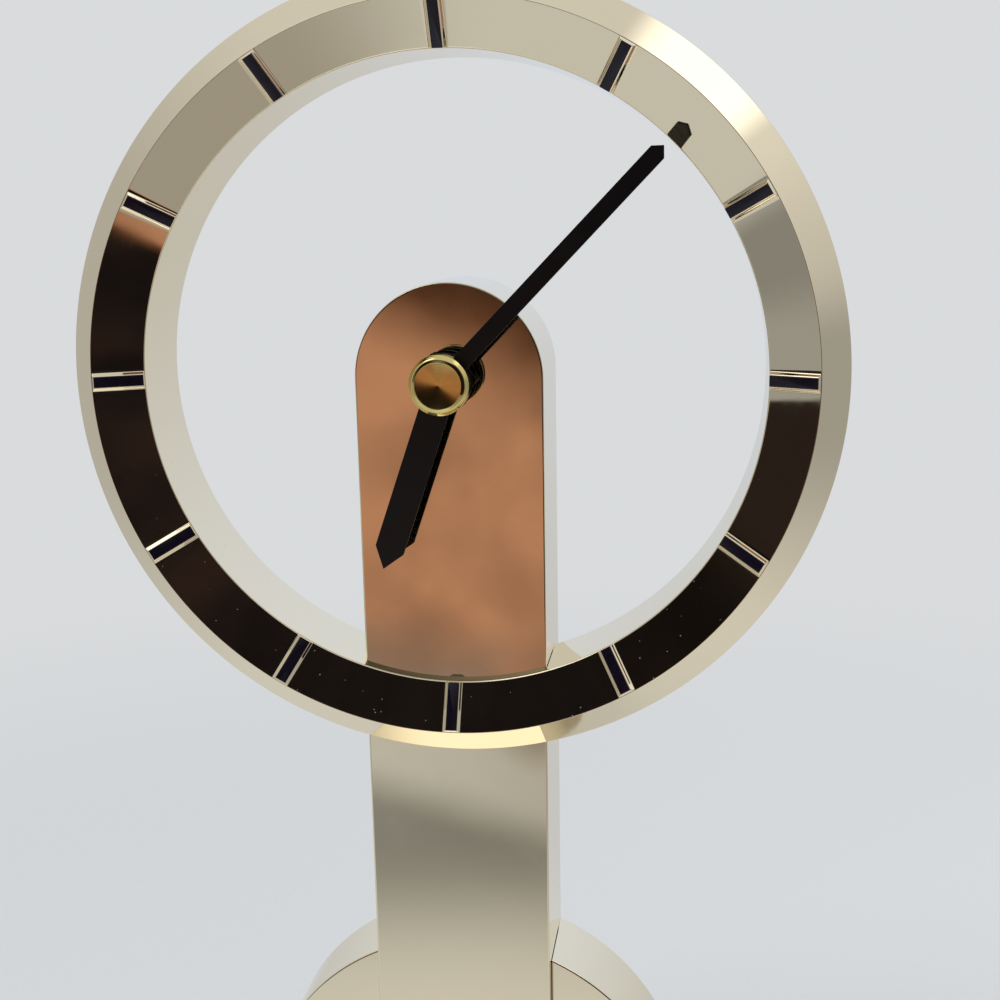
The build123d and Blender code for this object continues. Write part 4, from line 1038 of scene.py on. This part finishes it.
def add_screw(bm, place, head_radius, head_height, shank_radius, shank_length):
    """Pan-head screw whose head stands on the origin's plane and whose shank goes behind it."""
    crown = head_height * 0.35
    profile = round_corners((
        (AXIS, head_height, 0),
        (head_radius * 0.7, head_height, 0.3 * MM),
        (head_radius, head_height - crown, 0.25 * MM),
        (head_radius, 0, 0),
        (shank_radius, 0, 0),
        (shank_radius, -shank_length, 0),
        (AXIS, -shank_length, 0),
    ), 4)
    add_rows(bm, [[place @ Vector((x, y, level)) for y, x in circle(radius, 40)] for radius, level in profile])


def cut_cross(screw, place, reach, width, top, depth):
    """Cuts a tapered cross, the driver's recess, into a screw's head, turned so that no corner of it falls on an
    edge of the head."""
    askew = radians(17)
    above = 0.1 * MM
    rows = []
    for half, arm, level in ((0.3 * width, 0.25 * reach, top - depth), (0.5 * width, 0.5 * reach, top + above)):
        row = []
        for quarter in range(4):
            turn = Matrix.Rotation(askew + quarter * pi / 2, 4, "Z")
            row += [place @ turn @ Vector((x, y, level)) for x, y in ((arm, -half), (arm, half), (half, half))]
        rows.append(row)
    cross = bmesh.new()
    add_rows(cross, rows)
    cut(screw, cross)


class CLOCK_OT_screws(bpy.types.Operator):
    """Makes the pan-head screws that show on the back and under the plinth"""

    bl_idname = "clock.screws"
    bl_label = "Screws"

    def execute(self, context):
        head_height = 1.1 * MM
        shank_radius = 1.1 * MM
        recess_depth = 0.6 * MM
        recess_width = 0.6 * MM
        for node, axis in SHOWN_SCREWS.items():
            boxes = screw_boxes(node)
            low, high = boxes[0]
            head_radius = (high.x - low.x) / 2
            recess_reach = 1.3 * head_radius
            span = abs((high - low).dot(axis))
            place = Vector((0, 0, 1)).rotation_difference(axis).to_matrix().to_4x4()
            screw_bm = bmesh.new()
            add_screw(screw_bm, place, head_radius, head_height, shank_radius, span - head_height)
            screw = mesh_object(node + "_screw", screw_bm, 40)
            cut_cross(screw, place, recess_reach, recess_width, head_height, recess_depth)
            seats = bmesh.new()
            for low, high in boxes:
                seats.verts.new((low + high) / 2 + axis * (span / 2 - head_height))
            screws = mesh_object("zinc_" + node, seats)
            repeat(screws, screw, "zinc", "zinc_" + node, copies_at_points)
            mark_sharp(screws, 40)
            dress(screws, "zinc", "clock", node)
        return {"FINISHED"}


class CLOCK_OT_setting_knob(bpy.types.Operator):
    """Makes the grooved knob that sets the hands from the back"""

    bl_idname = "clock.setting_knob"
    bl_label = "Setting Knob"

    def execute(self, context):
        low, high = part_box("setting_knob")
        centre = (low + high) / 2
        radius = (high.x - low.x) / 2
        grooves = 18
        groove_steps = 10
        groove_depth = 0.35 * MM
        edge = 0.4 * MM

        # Inset from the knob's side, and place along its axis: the grooved side, then the rim and the sunk top
        profile = ((0.0, low.y), (0.0, high.y - edge), (0.3 * edge, high.y - 0.3 * edge), (edge, high.y),
                   (0.45 * radius, high.y), (0.5 * radius, high.y - edge), (0.9 * radius, high.y - edge))
        rows = []
        for inset, level in profile:
            row = []
            for step in range(grooves * groove_steps):
                angle = 2 * pi * step / (grooves * groove_steps)
                scallop = groove_depth * max(0.0, cos(grooves * angle)) ** 2 if inset < edge else 0
                reach = radius - inset - scallop
                row.append((centre.x + reach * sin(angle), level, centre.z + reach * cos(angle)))
            rows.append(row)
        knob_bm = bmesh.new()
        add_rows(knob_bm, rows)
        dress(mesh_object("grooved_knob", knob_bm, 35), "cover", "setting", "setting_knob")
        return {"FINISHED"}


class CLOCK_OT_rubber_feet(bpy.types.Operator):
    """Makes the four rubber feet"""

    bl_idname = "clock.rubber_feet"
    bl_label = "Rubber Feet"

    def execute(self, context):
        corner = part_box("rubber_feet")[1]
        radius = sizes().foot_radius
        edge = 0.6 * MM
        profile = round_corners(((AXIS, 0, 0), (radius - edge, 0, 0.3 * MM), (radius, edge, 0.3 * MM),
                                 (radius, corner.z, 0), (AXIS, corner.z, 0)), 4)
        feet_bm = bmesh.new()
        for side, end in ((-1, -1), (-1, 1), (1, -1), (1, 1)):
            centre_x = side * (corner.x - radius)
            centre_y = end * (corner.y - radius)
            add_rows(feet_bm, [[(centre_x + x, centre_y + y, level) for y, x in circle(reach, 64)]
                               for reach, level in profile])
        dress(mesh_object("moulded_feet", feet_bm, 40), "rubber", "clock", "rubber_feet")
        return {"FINISHED"}


# Stage: floor, lamps, the room that the plating mirrors, and the camera

def room_group():
    """Node group that gives the colour of the room in a direction from the clock: pale walls all round, white paper
    below, and in front of the clock an unlit room with a warm band at the paper's edge, and four soft glows. X, Y
    and Z are the direction's, so that X grows to the right, Y away from the camera and Z upwards."""
    tree = bpy.data.node_groups.new("room_in_the_plating", "ShaderNodeTree")
    tree.interface.new_socket("Direction", in_out="INPUT", socket_type="NodeSocketVector")
    tree.interface.new_socket("Color", in_out="OUTPUT", socket_type="NodeSocketColor")
    add = partial(add_node, tree)
    direction = add("NodeGroupInput").outputs["Direction"]
    x, y, z = add(SPLIT, (direction,)).outputs

    # Walls: dimmer level with the clock at its sides, brighter above, below and behind
    off_level = add(MATH, (z,), **SIZE)
    steep = add(RANGE, (off_level, 0.25, 0.85), **SMOOTH)
    rearward = add(RANGE, (y, 0.45, 0.85), **SMOOTH)
    open_sky = add(MATH, (steep, rearward), **LARGER)
    leftward = add(RANGE, (x, 0.3, -0.6), **SMOOTH)
    side = add(MIX, (leftward, "#A6A8AB", "#B8B9B9"), **RGBA)
    around = add(MIX, (open_sky, side, "#D9DBDD"), **RGBA)

    # Straight behind the clock, where the faces that lie along the view mirror it: cool above and grey below
    climb = add(RANGE, (z, -0.3, 0.4))
    behind = add(MIX, (climb, "#CACDD0", "#E1EBFE"), **RGBA)
    straight = add(RANGE, (y, 0.6, 0.88), **SMOOTH)
    walls = add(MIX, (straight, around, behind), **RGBA)

    # Paper in front of the clock: bluish and brighter to the left
    paper_left = add(RANGE, (x, 0.1, -0.3), **SMOOTH)
    paper = add(MIX, (paper_left, "#A4A3A1", "#CDD1D5"), **RGBA)

    # Its shadow in the middle, under an edge that slants, and the one far to the left
    from_middle = add(MATH, (x, 0.17), **PLUS)
    off_middle = add(MATH, (from_middle,), **SIZE)
    near_middle = add(RANGE, (off_middle, 0.3, 0.12), **SMOOTH)
    slope = add(MATH, (from_middle, 0.3), **TIMES)
    slant = add(MATH, (z, slope), **PLUS)
    above_paper = add(RANGE, (z, -0.55, -0.455, 0.0, 0.57), **SMOOTH)
    below_edge = add(RANGE, (slant, -0.4, -0.437, 0.1, 1.0), **SMOOTH)
    in_middle = add(MATH, (near_middle, above_paper), **TIMES)
    middle_shadow = add(MATH, (in_middle, below_edge), **TIMES)
    far_out = add(RANGE, (x, -0.6, -0.66), **SMOOTH)
    far_start = add(RANGE, (z, -0.44, -0.37, 0.0, 0.57), **SMOOTH)
    far_end = add(RANGE, (z, -0.3, -0.21, 1.0, 0.74), **SMOOTH)
    in_corner = add(MATH, (far_out, far_start), **TIMES)
    corner_shadow = add(MATH, (in_corner, far_end), **TIMES)
    shadow = add(MATH, (middle_shadow, corner_shadow), **LARGER)
    shade = add(MATH, (1.0, shadow), operation="SUBTRACT")
    shaded = add(VECTOR, (paper, shade), operation="SCALE")

    # Edge of the paper: it falls gently to the right and rises to the left, and the band above it is widest in the
    # middle. Level runs from the paper, through the band, to the room.
    edge_rise = add(RANGE, (x, -0.2, -1.0, 0.0, 0.4))
    edge_fall = add(RANGE, (x, -0.18, 0.6, 0.0, 0.085))
    over_floor = add(MATH, (z, 0.38), **PLUS)
    over_rise = add(MATH, (over_floor, edge_rise), operation="SUBTRACT")
    over_edge = add(MATH, (over_rise, edge_fall), **PLUS)
    off_band = add(MATH, (add(MATH, (x, 0.2), **PLUS),), **SIZE)
    band = add(RANGE, (off_band, 0.12, 0.42, 0.3, 0.05), **SMOOTH)
    ripple = add(NOISE, (direction, 7.0, 2.0))
    sway = add(RANGE, (ripple, 0.3, 0.7, -0.16, 0.16))
    share = add(MATH, (over_edge, band), operation="DIVIDE")
    swayed = add(MATH, (share, sway), **PLUS)
    level = add(RANGE, (swayed, -0.5, 1.5))
    tones = add("ShaderNodeValToRGB", (level,))
    warm = finish().warm_room
    set_stops(tones, ((0.24, "#8B8079"), (0.3, "#8E7468"), (0.4, warm), (0.66, warm), (0.78, "#5B3B2A"),
                      (0.9, finish().dark_room)))
    grain = add(NOISE, (direction, 16.0, 3.0))
    mottle = add(RANGE, (grain, 0.3, 0.7, 0.82, 1.12), **SMOOTH)
    mottled = add(VECTOR, (tones, mottle), operation="SCALE")

    # The unlit room: brown patches in its lower part, and a plain dark wall at the left
    blotches = add(NOISE, (direction, 4.5, 4.0))
    patches = add(RANGE, (blotches, 0.42, 0.66, 0.0, 0.3), **SMOOTH)
    past_band = add(RANGE, (level, 0.85, 0.95), **SMOOTH)
    below_top = add(RANGE, (z, 0.42, 0.3), **SMOOTH)
    in_room = add(MATH, (patches, past_band), **TIMES)
    brown = add(MATH, (in_room, below_top), **TIMES)
    patched = add(MIX, (brown, mottled, "#43302A"), **RGBA)
    wall_climb = add(RANGE, (z, 0.12, 0.27), **SMOOTH)
    dark_wall = add(MIX, (wall_climb, "#2A2220", "#14110F"), **RGBA)
    wall_left = add(RANGE, (x, -0.42, -0.62), **SMOOTH)
    unlit = add(MIX, (wall_left, patched, dark_wall), **RGBA)
    off_paper = add(RANGE, (level, 0.2, 0.28), **SMOOTH)
    ahead = add(MIX, (off_paper, shaded, unlit), **RGBA)

    # A lit patch of ceiling straight ahead, and the place of all this among the walls
    forward = add(RANGE, (y, -0.9, -0.95), **SMOOTH)
    upward = add(RANGE, (z, 0.1, 0.22), **SMOOTH)
    ceiling = add(MATH, (forward, upward), **TIMES)
    lit = add(MIX, (ceiling, ahead, "#94918B"), **RGBA)
    frontward = add(RANGE, (y, -0.3, -0.55), **SMOOTH)
    below_walls = add(RANGE, (z, 0.82, 0.64), **SMOOTH)
    in_front = add(MATH, (frontward, below_walls), **TIMES)
    seen = add(MIX, (in_front, walls, lit), **RGBA)

    # Glows that fade outwards: direction, the cosines where they start and are full, and strength
    glows = (((0.6, 0.08, 0.79), 0.965, 0.995, 0.95), ((-0.5, -0.22, 0.84), 0.955, 0.99, 1.2),
             ((0.9, 0.09, 0.43), 0.9, 1.0, 0.25), ((-0.05, -0.38, -0.92), 0.935, 0.99, 0.8))
    for towards, start, full, strength in glows:
        facing = add(VECTOR, (direction, Vector(towards).normalized()), operation="DOT_PRODUCT")
        glow = add(RANGE, (facing, start, full, 0.0, strength), **SMOOTH)
        seen = add(MIX, (1.0, seen, glow), blend_type="ADD", **RGBA)
    add("NodeGroupOutput", {"Color": seen})
    return tree


def build_world(room):
    """World that lights plainly, shows the backdrop's colour to the camera, and the room to the plating."""
    world = bpy.data.worlds.new("studio")
    bpy.context.scene.world = world
    world.use_nodes = True
    world.node_tree.nodes.clear()
    add = partial(add_node, world.node_tree)
    direction = add("ShaderNodeTexCoord").outputs["Generated"]
    mirrored = add("ShaderNodeGroup", {"Direction": direction}, node_tree=room)
    path = add("ShaderNodeLightPath").outputs
    through = add(MATH, (path["Is Glossy Ray"], path["Is Transmission Ray"]), **LARGER)
    plain = add(MIX, (path["Is Camera Ray"], "#C6C8CA", opaque(finish().backdrop)), **RGBA)
    chosen = add(MIX, (through, plain, mirrored), **RGBA)
    add("ShaderNodeOutputWorld", (add("ShaderNodeBackground", (chosen,)),))


def floor_paper(add, place):
    """Matt white paper, which fades into the backdrop far off. The plating mirrors only what lies near the clock,
    and past that, or in a mirror's mirror, the room."""
    fibre_size = 1.5 * MM
    fade_start, fade_end = 0.15, 0.6
    mirror_start, mirror_end = 0.1, 0.25
    fibres = add(NOISE, (place, 1 / fibre_size, 2.0))
    tone = add(MIX, (fibres, "#DFE1E3", "#E3E5E6"), **RGBA)
    paper = add("ShaderNodeBsdfDiffuse", (tone,))
    backdrop = add("ShaderNodeEmission", (opaque(finish().backdrop),))
    reach = add(VECTOR, (place,), operation="LENGTH")
    path = add("ShaderNodeLightPath").outputs
    far = add(RANGE, (reach, fade_start, fade_end), **SMOOTH)
    fade = add(MATH, (far, path["Is Camera Ray"]), **TIMES)
    faded = add("ShaderNodeMixShader", (fade, paper, backdrop))
    off = add(RANGE, (reach, mirror_start, mirror_end), **SMOOTH)
    twice = add(MATH, (path["Ray Depth"], 1.5), operation="GREATER_THAN")
    passed = add(MATH, (off, twice), **LARGER)
    glossy = add(MATH, (passed, path["Is Glossy Ray"]), **TIMES)
    return add("ShaderNodeMixShader", (glossy, faded, add("ShaderNodeBsdfTransparent")))


def add_lamp(name, direction, distance, across, power):
    """Soft round lamp that faces the clock from a direction. The plating mirrors the room's glow in its place."""
    light = bpy.data.lights.new(name, "AREA")
    light.shape = "DISK"
    light.size = across
    light.energy = power
    lamp = bpy.data.objects.new(name, light)
    towards = Vector(direction).normalized()
    lamp.location = Vector((0, 0, (DIAL_Z + DRUM_Z) / 2)) + towards * distance
    lamp.rotation_euler = towards.to_track_quat("Z", "Y").to_euler()
    lamp.visible_glossy = False
    bpy.context.scene.collection.objects.link(lamp)


def add_camera():
    """Camera at the photograph's place, found from the ring, the pillar and the hub."""
    focal_pixels = 1372
    frame_pixels = 1000
    sensor = 36
    yaw, pitch, roll = 0.1532, -0.2124, 0.018
    # Millimetres from the middle of the dial, on the plane of its ridge
    stand = Vector((46.2, -234.9, 30.5))
    camera_data = bpy.data.cameras.new("camera")
    camera_data.sensor_width = sensor
    camera_data.lens = focal_pixels * sensor / frame_pixels
    camera_data.clip_start = 5 * MM
    camera = bpy.data.objects.new("camera", camera_data)
    bpy.context.scene.collection.objects.link(camera)
    turn = Matrix.Rotation(yaw, 4, "Z") @ Matrix.Rotation(pitch, 4, "X") @ Matrix.Rotation(roll, 4, "Y")
    look_along_y = Matrix.Rotation(pi / 2, 4, "X")
    place = Matrix.Translation(stand * MM + Vector((0, RIDGE_Y, DIAL_Z)))
    camera.matrix_world = place @ turn @ look_along_y
    bpy.context.scene.camera = camera


class CLOCK_OT_stage(bpy.types.Operator):
    """Sets up the floor, the lamps, the room that the plating mirrors, and the camera"""

    bl_idname = "clock.stage"
    bl_label = "Stage"

    def execute(self, context):
        floor_radius = 6
        context.scene.view_settings.view_transform = "Standard"
        build_world(room_group())
        floor_bm = bmesh.new()
        bmesh.ops.create_circle(floor_bm, cap_ends=True, segments=96, radius=floor_radius)
        floor = mesh_object("floor", floor_bm)
        if floor.data.polygons[0].normal.z < 0:
            floor.data.flip_normals()
        floor.data.materials.append(new_material("matt_white_paper", floor_paper))
        floor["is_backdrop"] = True
        add_lamp("right_lamp", (0.56, 0.08, 0.83), 0.95, 0.3, 3.0)
        add_lamp("left_lamp", (-0.45, -0.35, 0.82), 1.1, 0.34, 2.2)
        add_camera()
        return {"FINISHED"}


class CLOCK_PT_panel(bpy.types.Panel):
    """Lists the clock's pieces in the sidebar"""

    bl_label = "Desk Clock"
    bl_idname = "CLOCK_PT_panel"
    bl_space_type = "VIEW_3D"
    bl_region_type = "UI"
    bl_category = "Clock"

    def draw(self, context):
        layout = self.layout
        for operator in OPERATORS:
            layout.operator(operator.bl_idname)
        for group in (context.scene.clock_finish, context.scene.clock_sizes):
            box = layout.box()
            for name in group.bl_rna.properties.keys():
                if name not in ("rna_type", "name"):
                    box.prop(group, name)


OPERATORS = (
    CLOCK_OT_carried_parts,
    CLOCK_OT_dial_ring,
    CLOCK_OT_hour_films,
    CLOCK_OT_pillar,
    CLOCK_OT_lower_ring,
    CLOCK_OT_plinth,
    CLOCK_OT_hub_cap,
    CLOCK_OT_hands,
    CLOCK_OT_pendulum,
    CLOCK_OT_screws,
    CLOCK_OT_setting_knob,
    CLOCK_OT_rubber_feet,
    CLOCK_OT_stage,
)
CLASSES = (ClockSizes, ClockFinish, *OPERATORS, CLOCK_PT_panel)


def register():
    for item in CLASSES:
        bpy.utils.register_class(item)
    bpy.types.Scene.clock_sizes = bpy.props.PointerProperty(type=ClockSizes)
    bpy.types.Scene.clock_finish = bpy.props.PointerProperty(type=ClockFinish)


def unregister():
    del bpy.types.Scene.clock_finish
    del bpy.types.Scene.clock_sizes
    for item in reversed(CLASSES):
        bpy.utils.unregister_class(item)


def corners(box):
    """Two corners of a box as plain lists."""
    return [list(corner) for corner in box]


def main():
    """Makes the clock piece by piece, sets up the stage, and measures the size before and after."""
    cad_box = corners(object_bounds())
    register()
    bpy.ops.clock.carried_parts()
    bpy.ops.clock.dial_ring()
    bpy.ops.clock.hour_films()
    bpy.ops.clock.pillar()
    bpy.ops.clock.lower_ring()
    bpy.ops.clock.plinth()
    bpy.ops.clock.hub_cap()
    bpy.ops.clock.hands()
    bpy.ops.clock.pendulum()
    bpy.ops.clock.screws()
    bpy.ops.clock.setting_knob()
    bpy.ops.clock.rubber_feet()
    bpy.ops.clock.stage()
    {"cad": cad_box, "visual": corners(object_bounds())}


if __name__ == "__main__":
    main()
